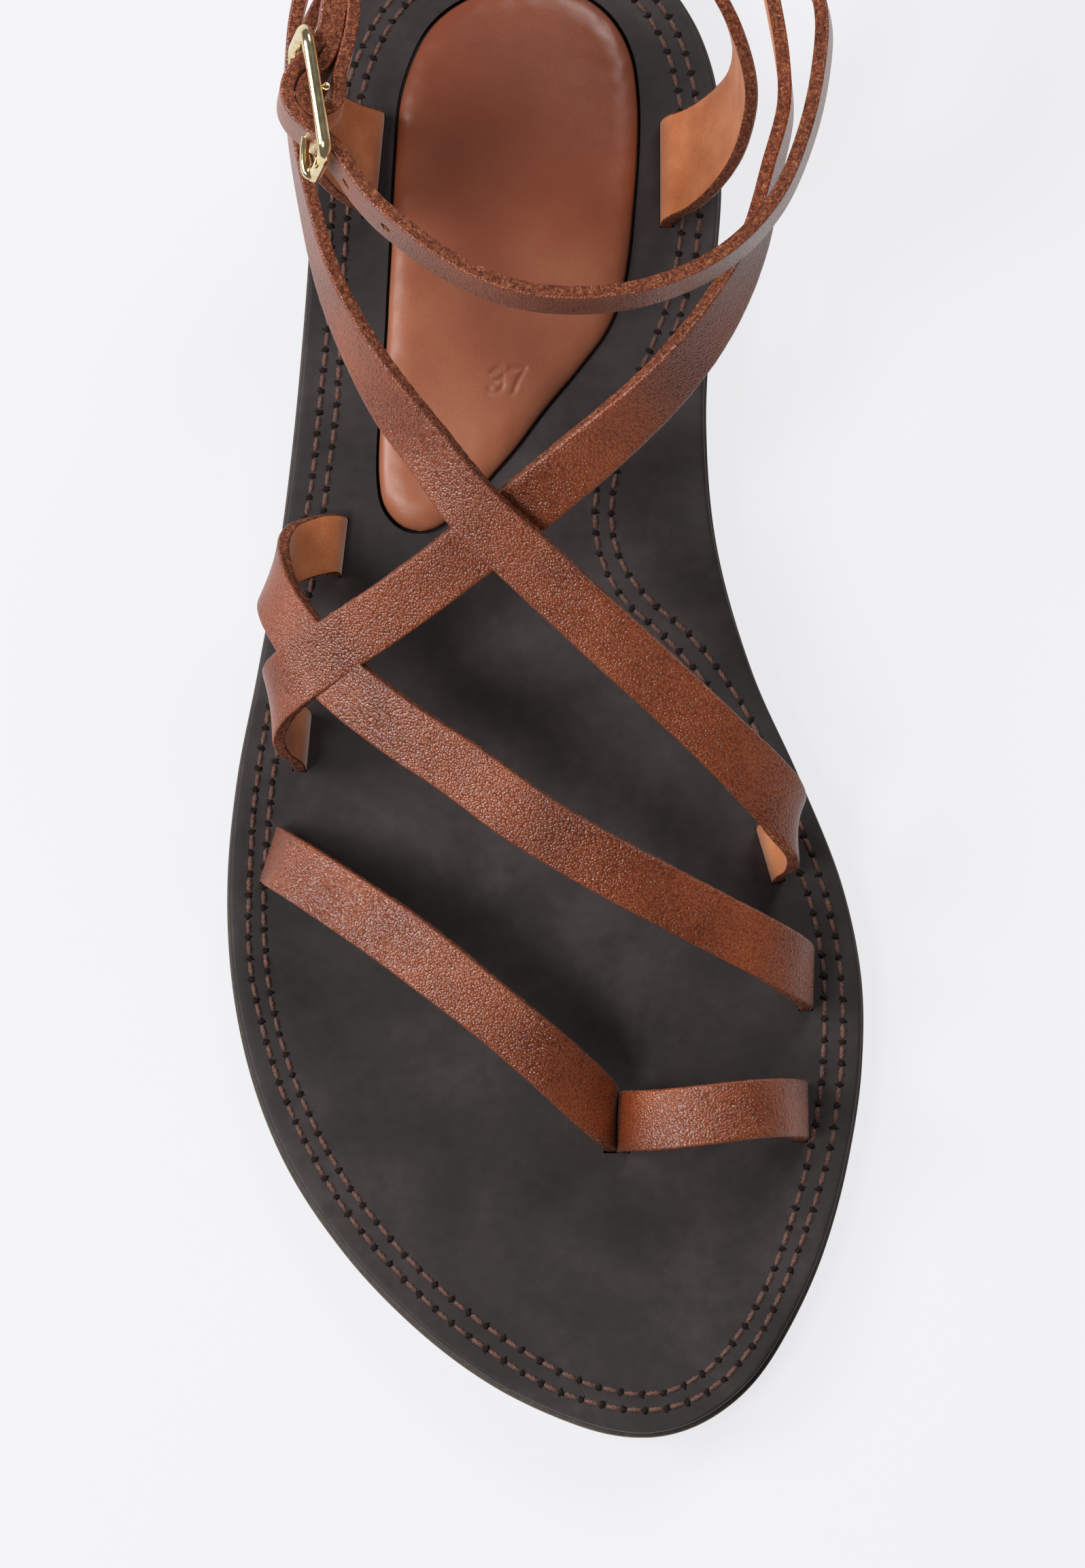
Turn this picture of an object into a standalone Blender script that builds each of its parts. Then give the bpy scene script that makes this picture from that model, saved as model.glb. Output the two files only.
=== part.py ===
"""Tie-up sandal for the right foot, standing empty on its sole.

Frame: origin on the floor under the middle of the heel, toe towards -Y, the big-toe
side towards +X, up is +Z. Every solid is one closed body. Sizes are in metres, and the
tables give places as shares of the named sizes.
"""

import bpy
import bmesh
import numpy as np

MM = 0.001

# Sole sizes
SOLE_LENGTH = 248.0 * MM
BALL_WIDTH = 103.0 * MM
HEEL_BACK = 38.4 * MM
OUTSOLE_THICKNESS = 3.2 * MM
INSOLE_THICKNESS = 3.8 * MM
HEEL_LIFT_HEIGHT = 6.5 * MM
HEEL_INSET = 0.8 * MM
TOE_SPRING = 4.5 * MM
ARCH_RISE = 1.6 * MM
INSOLE_INSET = 0.5 * MM
EDGE_ROUND = 0.7 * MM
BREAST_Y = -38.0 * MM
SHANK_FRONT_Y = -94.0 * MM
SHANK_BACK_Y = -32.0 * MM
TREAD_FRONT_Y = -150.0 * MM

# Pad sizes
PAD_LENGTH = 90.4 * MM
PAD_WIDTH = 40.0 * MM
PAD_BACK = 26.9 * MM
PAD_CROWN = 2.3 * MM
PAD_ROUND = 4.5 * MM
RECESS_DEPTH = 1.6 * MM
RECESS_GAP = 0.5 * MM

# Strap sizes
STRAP_WIDTH = 9.4 * MM
STRAP_THICKNESS = 2.1 * MM
ANKLE_HEIGHT = 85.0 * MM
FOOT_ABOVE = 0.8 * MM
FOOT_LIFT = 1.0 * MM

# Buckle sizes
FRAME_LENGTH = 22.2 * MM
FRAME_HEIGHT = 15.1 * MM
FRAME_WIRE = 2.1 * MM
FRAME_CORNER = 2.6 * MM
BAR_DIAMETER = 1.25 * MM
PRONG_DIAMETER = 1.4 * MM
PRONG_RING_WALL = 0.35 * MM
FOLD_RADIUS = 2.75 * MM
PRONG_SLOT = 2.2 * MM
HOLE_DIAMETER = 1.9 * MM

# Clearances
GAP = 0.3 * MM

# Steps of the strap surfaces
FINE_STEP = 0.35 * MM
LONG_STEP = 6.0 * MM
BEND_STEP = np.radians(11.0)

# Buckle placing: middle of the frame (shares of ball width, of sole length from the heel
# and of ankle height), the way it runs forward, and how far its lower side leans out
BUCKLE_ACROSS = -0.3058
BUCKLE_ALONG = 0.2081
BUCKLE_LEAN = np.radians(11.0)
BUCKLE_CENTRE = np.array([
    BUCKLE_ACROSS * BALL_WIDTH, HEEL_BACK - BUCKLE_ALONG * SOLE_LENGTH, ANKLE_HEIGHT])
BUCKLE_FORWARD = np.array([0.154, -0.988, 0.0])
AWAY_FROM_LEG = np.array([-0.988, -0.154, 0.0])
BUCKLE_OUT = np.cos(BUCKLE_LEAN) * AWAY_FROM_LEG + np.sin(BUCKLE_LEAN) * np.array([0, 0, 1])
BUCKLE_UP = np.cos(BUCKLE_LEAN) * np.array([0, 0, 1]) - np.sin(BUCKLE_LEAN) * AWAY_FROM_LEG
BUCKLE_TURN = 9.0
BUCKLE_RISE = 84.0
BAR_FORWARD = -0.4 * MM
BAR_OUT = -1.55 * MM

# Outline of the sole: along (share of length from the heel), lateral and medial edge
# (shares of the ball width from the heel's middle line)
SOLE_OUTLINE = [
    # along, lateral, medial
    (0.000, -0.005, -0.005),
    (0.012, -0.145, 0.132),
    (0.045, -0.250, 0.245),
    (0.100, -0.320, 0.308),
    (0.180, -0.331, 0.320),
    (0.260, -0.342, 0.305),
    (0.340, -0.358, 0.294),
    (0.420, -0.382, 0.311),
    (0.500, -0.416, 0.367),
    (0.570, -0.447, 0.441),
    (0.640, -0.461, 0.506),
    (0.700, -0.454, 0.535),
    (0.760, -0.426, 0.535),
    (0.820, -0.371, 0.513),
    (0.880, -0.276, 0.473),
    (0.930, -0.161, 0.418),
    (0.965, -0.049, 0.362),
    (0.988, 0.063, 0.294),
    (1.000, 0.190, 0.190),
]

# Outline of the pad: along (share of its length from its back), lateral and medial
# edge (shares of its width from the heel's middle line)
PAD_OUTLINE = [
    # along, lateral, medial
    (0.000, 0.04, 0.04),
    (0.020, -0.19, 0.25),
    (0.075, -0.36, 0.39),
    (0.140, -0.44, 0.455),
    (0.205, -0.485, 0.475),
    (0.330, -0.51, 0.473),
    (0.420, -0.52, 0.457),
    (0.500, -0.525, 0.440),
    (0.570, -0.533, 0.412),
    (0.645, -0.540, 0.345),
    (0.710, -0.550, 0.237),
    (0.785, -0.563, 0.095),
    (0.850, -0.572, -0.015),
    (0.905, -0.572, -0.123),
    (0.950, -0.555, -0.210),
    (0.980, -0.510, -0.290),
    (1.000, -0.400, -0.400),
]

# Strap tables. across: share of ball width; along: share of sole length from the heel;
# height: share of ankle height; turn: heading of the strap's back edge in degrees from
# the medial direction; rise: tilt of that edge above level in degrees; width: share of
# strap width. A row of height 0 is a foot in its slot, set to the sole's height.
TOE_BAND = [
    # across, along, height, turn, rise, width
    (-0.384, 0.6250, 0.000, 73, 0, 1.0),
    (-0.380, 0.6285, 0.165, 72, 2, 1.0),
    (-0.366, 0.6345, 0.215, 68, 6, 1.0),
    (-0.335, 0.6440, 0.255, 62, 10, 1.0),
    (-0.285, 0.6590, 0.285, 56, 14, 1.0),
    (-0.190, 0.6870, 0.310, 51, 17, 1.0),
    (-0.091, 0.7190, 0.318, 50, 17, 1.0),
    (0.005, 0.7510, 0.300, 50, 15, 1.0),
    (0.060, 0.7695, 0.265, 54, 11, 1.0),
    (0.108, 0.7860, 0.205, 66, 6, 1.0),
    (0.134, 0.7950, 0.150, 82, 2, 1.0),
    (0.141, 0.7975, 0.000, 90, 0, 1.0),
]
TOE_LOOP = [
    (0.160, 0.7985, 0.000, 90, 0, 1.0),
    (0.165, 0.7995, 0.165, 90, 0, 1.0),
    (0.181, 0.8015, 0.225, 92, 1, 1.0),
    (0.212, 0.8025, 0.270, 94, 3, 1.0),
    (0.255, 0.8015, 0.295, 95, 4, 1.0),
    (0.300, 0.7995, 0.300, 95, 4, 1.0),
    (0.352, 0.7965, 0.288, 95, 3, 1.0),
    (0.401, 0.7940, 0.248, 93, 2, 1.0),
    (0.431, 0.7925, 0.180, 91, 0, 1.0),
    (0.436, 0.7915, 0.000, 90, 0, 1.0),
]
MIDDLE_STRAP = [
    (-0.287, 0.4215, 0.000, 83, 0, 1.0),
    (-0.293, 0.4220, 0.160, 83, 2, 1.0),
    (-0.322, 0.4260, 0.195, 84, 6, 1.0),
    (-0.356, 0.4350, 0.237, 80, 12, 1.0),
    (-0.378, 0.4510, 0.290, 68, 26, 1.0),
    (-0.377, 0.4650, 0.332, 55, 37, 1.0),
    (-0.362, 0.4810, 0.368, 50, 36, 1.0),
    (-0.330, 0.5020, 0.400, 50, 32, 1.0),
    (-0.280, 0.5260, 0.420, 54, 27, 1.0),
    (-0.190, 0.5575, 0.435, 56, 23, 1.0),
    (-0.092, 0.5855, 0.440, 57, 20, 1.0),
    (0.014, 0.6175, 0.435, 60, 18, 1.0),
    (0.119, 0.6425, 0.408, 62, 17, 1.0),
    (0.224, 0.6635, 0.360, 63, 15, 1.0),
    (0.329, 0.6835, 0.300, 64, 12, 1.0),
    (0.390, 0.6950, 0.258, 68, 8, 1.0),
    (0.430, 0.7030, 0.205, 78, 4, 1.0),
    (0.444, 0.7060, 0.160, 86, 1, 1.0),
    (0.446, 0.7060, 0.000, 90, 0, 1.0),
]
LATERAL_STRAP = [
    (-0.343, 0.5490, 0.000, 85, 0, 1.0),
    (-0.347, 0.5485, 0.165, 86, 0, 1.0),
    (-0.366, 0.5450, 0.220, 90, 0, 1.0),
    (-0.376, 0.5380, 0.285, 98, 0, 1.0),
    (-0.367, 0.5300, 0.350, 110, 0, 1.0),
    (-0.341, 0.5230, 0.397, 120, 2, 1.0),
    (-0.300, 0.5130, 0.432, 125, 6, 1.0),
    (-0.195, 0.4880, 0.503, 128, 15, 1.0),
    (-0.091, 0.4600, 0.566, 127, 22, 1.0),
    (0.013, 0.4290, 0.618, 126, 28, 1.0),
    (0.114, 0.3970, 0.668, 128, 35, 1.0),
    (0.214, 0.3620, 0.722, 138, 48, 1.0),
    (0.296, 0.3210, 0.784, 148, 62, 1.0),
    (0.345, 0.2830, 0.844, 160, 74, 1.0),
    (0.373, 0.2400, 0.897, 171, 82, 1.0),
    (0.392, 0.2040, 0.925, 175, 85, 1.0),
    (0.389, 0.1750, 0.942, 182, 87, 1.0),
    (0.373, 0.1370, 0.955, 198, 87, 1.0),
    (0.340, 0.0860, 0.968, 225, 86, 1.0),
    (0.240, 0.0430, 0.982, 248, 86, 1.0),
    (0.115, 0.0260, 0.990, 262, 86, 1.0),
    (0.000, 0.0250, 0.996, 275, 86, 1.0),
    (-0.105, 0.0400, 1.000, 292, 86, 1.0),
    (-0.185, 0.0740, 1.000, 315, 85, 1.0),
    (-0.235, 0.1200, 1.000, 345, 84, 1.0),
]
# How that strap goes round the buckle bar and how the end of the medial strap weaves
# through the frame, in millimetres forward of and outside the middle of the frame
BAR_FOLD_IN = [(-14.0, -8.7), (-10.5, -7.9), (-7.5, -6.8), (-5.0, -5.7), (-2.7, -4.7)]
BAR_FOLD_BACK = [
    (-1.9, 0.7), (-3.3, -0.75), (-4.7, -2.5), (-6.5, -3.9), (-9.6, -5.25), (-13.0, -6.35), (-17.0, -8.0)]
TAIL_WEAVE = [
    # forward, out
    (16.9, -6.8), (14.0, -5.1), (11.3, -3.9), (9.6, -3.1), (7.8, -2.05), (6.0, -0.5),
    (4.0, 1.35), (2.0, 2.85), (-0.4, 3.55), (-2.8, 3.05), (-4.8, 1.5), (-6.6, -0.7),
    (-8.4, -2.65), (-10.05, -3.6), (-12.5, -4.4), (-16.0, -5.4), (-20.0, -7.2), (-24.0, -9.9),
    (-27.5, -13.0),
]
PUNCHED_HOLES = [(12.7, -4.4), (20.1, -9.2)]
MEDIAL_STRAP = [
    # across, along, height, turn, rise, width
    (0.392, 0.6230, 0.000, 106, 0, 1.0),
    (0.397, 0.6230, 0.165, 104, 1, 1.0),
    (0.413, 0.6210, 0.215, 96, 3, 1.0),
    (0.419, 0.6150, 0.265, 86, 6, 1.0),
    (0.404, 0.6035, 0.315, 72, 8, 1.0),
    (0.368, 0.5890, 0.365, 62, 10, 1.0),
    (0.322, 0.5725, 0.410, 54, 12, 1.0),
    (0.218, 0.5360, 0.488, 48, 17, 1.0),
    (0.115, 0.5010, 0.560, 47, 22, 1.0),
    (0.014, 0.4650, 0.615, 45, 26, 1.0),
    (-0.070, 0.4330, 0.652, 43, 32, 1.0),
    (-0.136, 0.3985, 0.676, 42, 44, 1.0),
    (-0.184, 0.3730, 0.690, 39, 52, 1.0),
    (-0.233, 0.3405, 0.706, 32, 64, 1.0),
    (-0.280, 0.3000, 0.727, 24, 75, 1.0),
    (-0.314, 0.2500, 0.753, 14, 82, 1.0),
    (-0.334, 0.2050, 0.775, 6, 85, 1.0),
    (-0.340, 0.1700, 0.788, 0, 86, 1.0),
    (-0.332, 0.1300, 0.797, -8, 86, 1.0),
    (-0.290, 0.0800, 0.803, -32, 84, 1.0),
    (-0.205, 0.0350, 0.806, -58, 83, 1.0),
    (-0.100, 0.0110, 0.808, -76, 83, 1.0),
    (0.005, 0.0065, 0.812, -90, 83, 1.0),
    (0.115, 0.0110, 0.824, -104, 83, 1.0),
    (0.225, 0.0320, 0.856, -118, 83, 1.0),
    (0.332, 0.0690, 0.910, -140, 83, 1.0),
    (0.414, 0.1120, 0.963, -160, 83, 1.0),
    (0.447, 0.1550, 0.990, -178, 83, 1.0),
    (0.442, 0.1905, 0.994, -188, 84, 1.0),
    (0.417, 0.2310, 0.994, -203, 86, 1.0),
    (0.375, 0.2700, 0.994, -220, 88, 1.0),
    (0.290, 0.3060, 0.994, -240, 89, 1.0),
    (0.186, 0.3250, 0.994, -257, 89, 1.0),
    (0.086, 0.3300, 0.994, -270, 89, 1.0),
    (-0.014, 0.3250, 0.995, -283, 88, 1.0),
    (-0.115, 0.3055, 0.997, -300, 86, 1.0),
    (-0.165, 0.2900, 0.998, -308, 85, 1.0),
]
# Heel strap from the medial slot to the back; the lateral half mirrors it
HEEL_STRAP = [
    (0.232, 0.1750, 0.000, -90, 0, 1.85),
    (0.238, 0.1750, 0.215, -90, 0, 1.84),
    (0.268, 0.1740, 0.268, -89, 4, 1.80),
    (0.308, 0.1680, 0.355, -87, 14, 1.72),
    (0.339, 0.1560, 0.455, -84, 30, 1.60),
    (0.345, 0.1380, 0.545, -80, 44, 1.45),
    (0.323, 0.1140, 0.612, -80, 57, 1.28),
    (0.270, 0.0800, 0.660, -84, 68, 1.13),
    (0.200, 0.0410, 0.698, -88, 76, 1.03),
    (0.112, 0.0180, 0.722, -90, 80, 1.0),
    (0.005, 0.0103, 0.733, -90, 82, 1.0),
]
HEEL_MIDDLE = 0.005
LATERAL_HEEL_SHIFT = (-0.011, -0.006)


def clear_scene():
    for thing in list(bpy.data.objects):
        bpy.data.objects.remove(thing, do_unlink=True)


def material(name, colour, roughness, metallic):
    made = bpy.data.materials.new(name)
    made.use_nodes = True
    shader = made.node_tree.nodes["Principled BSDF"]
    shader.inputs["Base Color"].default_value = (*colour, 1.0)
    shader.inputs["Roughness"].default_value = roughness
    shader.inputs["Metallic"].default_value = metallic
    return made


def solid(name, points, faces, paint=None, smooth=False):
    """Makes a closed object from points and faces, with its faces turned outwards."""
    mesh = bpy.data.meshes.new(name)
    mesh.from_pydata([tuple(p) for p in points], [], faces)
    work = bmesh.new()
    work.from_mesh(mesh)
    bmesh.ops.recalc_face_normals(work, faces=work.faces)
    work.to_mesh(mesh)
    work.free()
    if paint:
        mesh.materials.append(paint)
    if smooth:
        mesh.shade_smooth()
    made = bpy.data.objects.new(name, mesh)
    bpy.context.scene.collection.objects.link(made)
    return made


def combine(target, other, operation):
    """Joins or cuts target with other, then removes other."""
    step = target.modifiers.new("step", "BOOLEAN")
    step.operation = operation
    step.solver = "EXACT"
    step.object = other
    graph = bpy.context.evaluated_depsgraph_get()
    made = bpy.data.meshes.new_from_object(target.evaluated_get(graph))
    target.modifiers.clear()
    old = target.data
    made.name = old.name
    target.data = made
    bpy.data.meshes.remove(old)
    bpy.data.objects.remove(other, do_unlink=True)


def tidy(target):
    """Welds doubled points and splits faces into triangles."""
    work = bmesh.new()
    work.from_mesh(target.data)
    bmesh.ops.remove_doubles(work, verts=work.verts, dist=0.01 * MM)
    bmesh.ops.dissolve_degenerate(work, edges=work.edges, dist=0.01 * MM)
    bmesh.ops.triangulate(work, faces=work.faces)
    bmesh.ops.recalc_face_normals(work, faces=work.faces)
    work.to_mesh(target.data)
    work.free()


def through(marks, values, places, rise_start=False, fall_end=False):
    """Smooth curve through values at marks, read at places (cubic, slopes averaged).

    A risen start or fallen end leaves or arrives straight up or down.
    """
    marks = np.asarray(marks, float)
    values = np.asarray(values, float)
    steps = np.diff(marks)[:, None]
    slopes = np.diff(values, axis=0) / steps
    ends = np.zeros_like(values)
    ends[1:-1] = (slopes[:-1] * steps[1:] + slopes[1:] * steps[:-1]) / (steps[1:] + steps[:-1])
    ends[0], ends[-1] = slopes[0], slopes[-1]
    if rise_start:
        ends[0] = np.eye(values.shape[1])[2]
    if fall_end:
        ends[-1] = -np.eye(values.shape[1])[2]
    k = np.clip(np.searchsorted(marks, places, side="right") - 1, 0, len(marks) - 2)
    s = ((places - marks[k]) / (marks[k + 1] - marks[k]))[:, None]
    h = (marks[k + 1] - marks[k])[:, None]
    return (
        (2 * s**3 - 3 * s**2 + 1) * values[k] + (s**3 - 2 * s**2 + s) * h * ends[k]
        + (3 * s**2 - 2 * s**3) * values[k + 1] + (s**3 - s**2) * h * ends[k + 1]
    )


def ease(share):
    share = np.clip(share, 0.0, 1.0)
    return share * share * (3.0 - 2.0 * share)


def outline(table, length, width, back, shares):
    """Lateral edge, medial edge and Y of an outline at shares of its length."""
    rows = np.array(table)
    edges = through(np.arccos(1 - 2 * rows[:, 0]), rows[:, 1:] * width,
                    np.arccos(1 - 2 * np.asarray(shares)))
    return edges[:, 0], edges[:, 1], back - np.asarray(shares) * length


def under_height(x, y):
    """Height of the outsole's underside: heel seat, waist, flat tread, toe spring."""
    heel = (HEEL_LIFT_HEIGHT + GAP) * ease((y - SHANK_FRONT_Y) / (SHANK_BACK_Y - SHANK_FRONT_Y))
    toe_y = HEEL_BACK - SOLE_LENGTH
    spring = TOE_SPRING * np.clip((TREAD_FRONT_Y - y) / (TREAD_FRONT_Y - toe_y), 0, 1) ** 2
    waist = ease((y - SHANK_FRONT_Y) / (25 * MM)) * ease((-8 * MM - y) / (30 * MM))
    arch = ARCH_RISE * waist * np.clip(x / (0.30 * BALL_WIDTH), 0, 1) ** 2
    return heel + spring + arch


def insole_under(x, y):
    return under_height(x, y) + OUTSOLE_THICKNESS + GAP


def insole_top(x, y):
    return insole_under(x, y) + INSOLE_THICKNESS


def rows_solid(name, sides, low, high, paint, bevel=0.0, across=(-1, -0.5, 0, 0.5, 1)):
    """Solid between two height functions: rows across, one for each pair of edges."""
    points, faces = [], []
    for left, right, y in zip(*sides):
        middle, half = (left + right) / 2, (right - left) / 2
        inner = max(half - bevel, half * 0.6)
        tops = [(middle + a * inner, high(middle + a * inner, y)) for a in across[::-1]]
        sides_right = (right, high(right, y) - bevel)
        sides_left = (left, high(left, y) - bevel)
        bottoms = [(middle + a * half, low(middle + a * half, y)) for a in across]
        ring = bottoms + ([sides_right] if bevel else []) + tops + ([sides_left] if bevel else [])
        points += [(x, y, z) for x, z in ring]
    n = len(ring)
    count = len(sides[0])
    for k in range(count - 1):
        for i in range(n):
            j = (i + 1) % n
            faces.append((k * n + i, k * n + j, (k + 1) * n + j, (k + 1) * n + i))
    faces.append(tuple(range(n)))
    faces.append(tuple(range((count - 1) * n, count * n)))
    return solid(name, points, faces, paint)


def sole_rows(inset, count=84, ends=0.05, y_front=None):
    """Edges of the sole drawn in by an inset, as rows from heel to toe."""
    angles = np.linspace(ends, np.pi - ends, count)
    shares = (1 - np.cos(angles)) / 2
    left, right, y = outline(SOLE_OUTLINE, SOLE_LENGTH, BALL_WIDTH, HEEL_BACK, shares)
    middle, half = (left + right) / 2, (right - left) / 2
    drawn = np.maximum(half - inset, half * 0.8)
    y = y + inset * np.cos(angles + np.pi)
    keep = np.ones(count, bool) if y_front is None else y > y_front
    left, right, y = (middle - drawn)[keep], (middle + drawn)[keep], y[keep]
    if y_front is not None:
        left, right, y = np.append(left, left[-1]), np.append(right, right[-1]), np.append(y, y_front)
    return left, right, y


def strap_rows(table, foot_start, foot_end, end_rows=()):
    """Reads a strap table: middle line, edge direction and width at chosen steps.

    A foot is a vertical end that reaches down through its slot to the outsole.
    """
    rows = np.array(table, float)
    place = np.column_stack((
        rows[:, 0] * BALL_WIDTH, HEEL_BACK - rows[:, 1] * SOLE_LENGTH, rows[:, 2] * ANKLE_HEIGHT))
    for foot, k in ((foot_start, 0), (foot_end, -1)):
        if foot:
            place[k, 2] = insole_top(place[k, 0], place[k, 1]) + FOOT_ABOVE
    values = np.column_stack((place, rows[:, 3:]))
    if len(end_rows):
        values = np.vstack((values, end_rows))
    marks = distances(values[:, :3])
    count = int(marks[-1] / FINE_STEP) + 1
    fine = through(marks, values, np.linspace(0, marks[-1], count), foot_start, foot_end)
    fine = fine[steps_kept(fine)]
    if foot_start:
        fine = np.vstack((foot_rows(fine[0]), fine))
    if foot_end:
        fine = np.vstack((fine, foot_rows(fine[-1])[::-1]))
    return fine


def distances(points):
    return np.concatenate(([0], np.cumsum(np.linalg.norm(np.diff(points, axis=0), axis=1))))


def steps_kept(fine):
    """Picks points of a fine strap line: close together in bends and twists only."""
    way = unit(np.gradient(fine[:, :3], axis=0))
    edge = edge_directions(fine[:, 3], fine[:, 4])
    kept, last = [0], 0
    for k in range(1, len(fine) - 1):
        bend = np.arccos(np.clip(way[k] @ way[last], -1, 1))
        twist = np.arccos(np.clip(edge[k] @ edge[last], -1, 1))
        far = np.linalg.norm(fine[k, :3] - fine[last, :3])
        if bend > BEND_STEP or twist > BEND_STEP or far > LONG_STEP:
            kept.append(k)
            last = k
    if len(fine) - 1 - last < 2:
        kept.pop()
    return kept + [len(fine) - 1]


def foot_rows(row):
    """Buried vertical length of a foot, from its lower end to just under the given row."""
    depth = row[2] - insole_under(row[0], row[1]) - FOOT_LIFT
    rows = np.tile(row, (2, 1))
    rows[:, 2] -= (depth, depth * 0.45)
    return rows


def unit(vectors):
    return vectors / np.linalg.norm(vectors, axis=-1, keepdims=True)


def band(name, middle, edge_way, width, thickness, paint):
    """Sweeps a flat strap along its middle line; edge_way points to its back edge."""
    way = unit(np.gradient(middle, axis=0))
    edge = unit(edge_way - np.sum(edge_way * way, axis=1, keepdims=True) * way)
    face = np.cross(way, edge)
    half, deep = width[:, None] / 2, thickness / 2
    corners = (edge * half + face * deep, edge * half - face * deep,
               -edge * half - face * deep, -edge * half + face * deep)
    points = np.stack([middle + c for c in corners], axis=1).reshape(-1, 3)
    count = len(middle)
    faces = [
        (k * 4 + i, k * 4 + (i + 1) % 4, (k + 1) * 4 + (i + 1) % 4, (k + 1) * 4 + i)
        for k in range(count - 1) for i in range(4)
    ]
    faces.append((0, 1, 2, 3))
    faces.append(tuple((count - 1) * 4 + i for i in range(4)))
    return solid(name, points, faces, paint)


def edge_directions(turn, rise):
    turn, rise = np.radians(turn), np.radians(rise)
    return np.column_stack((np.cos(rise) * np.cos(turn), np.cos(rise) * np.sin(turn), np.sin(rise)))


def strap(name, table, feet, paint, end_rows=()):
    fine = strap_rows(table, *feet, end_rows)
    return band(name, fine[:, :3], edge_directions(fine[:, 3], fine[:, 4]),
                fine[:, 5] * STRAP_WIDTH, STRAP_THICKNESS, paint)


def slot_cutter(row, end_row=None):
    """Box for the slot of one foot, or of two feet that share a slot."""
    rows = [row] if end_row is None else [row, end_row]
    places = np.array([(r[0] * BALL_WIDTH, HEEL_BACK - r[1] * SOLE_LENGTH) for r in rows])
    turn = np.radians(row[3])
    along = np.array([np.cos(turn), np.sin(turn)])
    side = np.array([-np.sin(turn), np.cos(turn)])
    middle = places.mean(axis=0)
    spread = np.abs((places - middle) @ side).max()
    slip = np.abs((places - middle) @ along).max()
    long = row[5] * STRAP_WIDTH / 2 + slip + GAP
    wide = STRAP_THICKNESS / 2 + spread + GAP
    low = insole_under(*middle) - 2 * MM
    high = insole_top(*middle) + 2 * MM
    plan = [middle + along * a * long + side * b * wide for a, b in ((1, 1), (-1, 1), (-1, -1), (1, -1))]
    points = [(x, y, low) for x, y in plan] + [(x, y, high) for x, y in plan]
    faces = [(0, 1, 2, 3), (4, 5, 6, 7)] + [(i, (i + 1) % 4, (i + 1) % 4 + 4, i + 4) for i in range(4)]
    return solid("slot_cutter", points, faces)


def mirrored_heel(table):
    """Lateral half of the heel strap: the medial table mirrored about the heel."""
    made = []
    for across, along, height, turn, rise, width in table:
        low = max(0.0, 1 - height / HEEL_STRAP[-1][2]) if height else 1.0
        shift_across, shift_along = (low * shift for shift in LATERAL_HEEL_SHIFT)
        made.append((2 * HEEL_MIDDLE - across + shift_across, along + shift_along,
                     height, -180 - turn - 5 * low, rise, width))
    return made


def heel_strap_rows():
    """Whole heel strap: medial half, then the lateral half run backwards."""
    return HEEL_STRAP + mirrored_heel(HEEL_STRAP[:-1])[::-1]


def build_outsole(paint):
    high = lambda x, y: under_height(x, y) + OUTSOLE_THICKNESS
    return rows_solid("outsole", sole_rows(0.0), under_height, high, paint)


def build_heel_lift(paint):
    rows = sole_rows(HEEL_INSET, y_front=BREAST_Y)
    return rows_solid("heel_lift", rows, lambda x, y: 0.0, lambda x, y: under_height(x, y) - GAP, paint)


def pad_rows(grow, count=44):
    """Edges of the pad, or of its recess when grown by a gap."""
    shares = (1 - np.cos(np.linspace(0.09, np.pi - 0.09, count))) / 2
    left, right, y = outline(PAD_OUTLINE, PAD_LENGTH, PAD_WIDTH, PAD_BACK, shares)
    middle_y = PAD_BACK - PAD_LENGTH / 2
    return left - grow, right + grow, middle_y + (y - middle_y) * (1 + 2 * grow / PAD_LENGTH)


def pad_crown(edges):
    """Height of the pad's top over the sole, rounded off towards its outline."""
    left, right, y = edges
    rim = np.vstack((np.column_stack((left, y)), np.column_stack((right, y))[::-1]))
    ends = np.roll(rim, -1, axis=0)

    def height(x, y_at):
        run = ends - rim
        share = np.clip(((np.array([x, y_at]) - rim) * run).sum(1) / (run**2).sum(1), 0, 1)
        away = np.linalg.norm(rim + run * share[:, None] - (x, y_at), axis=1).min()
        reach = np.clip(away / PAD_ROUND, 0, 1)
        return insole_top(x, y_at) + PAD_CROWN * np.sqrt(1 - (1 - reach) ** 2) * 0.9 + 0.1 * MM

    return height


def build_heel_pad(paint):
    edges = pad_rows(0.0)
    across = (-1, -0.985, -0.94, -0.86, -0.72, -0.4, 0, 0.4, 0.72, 0.86, 0.94, 0.985, 1)
    low = lambda x, y: insole_top(x, y) - RECESS_DEPTH + GAP
    pad = rows_solid("heel_pad", edges, low, pad_crown(edges), paint, across=across)
    pad.data.shade_smooth()
    return pad


def build_insole(paint):
    insole = rows_solid("insole", sole_rows(INSOLE_INSET), insole_under, insole_top, paint, EDGE_ROUND)
    low = lambda x, y: insole_top(x, y) - RECESS_DEPTH
    high = lambda x, y: insole_top(x, y) + 3 * MM
    combine(insole, rows_solid("recess_cutter", pad_rows(RECESS_GAP), low, high, None), "DIFFERENCE")
    heel = heel_strap_rows()
    for row in (TOE_BAND[0], TOE_LOOP[-1], MIDDLE_STRAP[0], MIDDLE_STRAP[-1],
                LATERAL_STRAP[0], MEDIAL_STRAP[0], heel[0], heel[-1]):
        combine(insole, slot_cutter(row), "DIFFERENCE")
    combine(insole, slot_cutter(TOE_BAND[-1], TOE_LOOP[0]), "DIFFERENCE")
    return insole


def build_toe_strap(paint):
    toe = strap("toe_strap", TOE_BAND, (True, True), paint)
    combine(toe, strap("toe_loop", TOE_LOOP, (True, True), paint), "UNION")
    return toe


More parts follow.
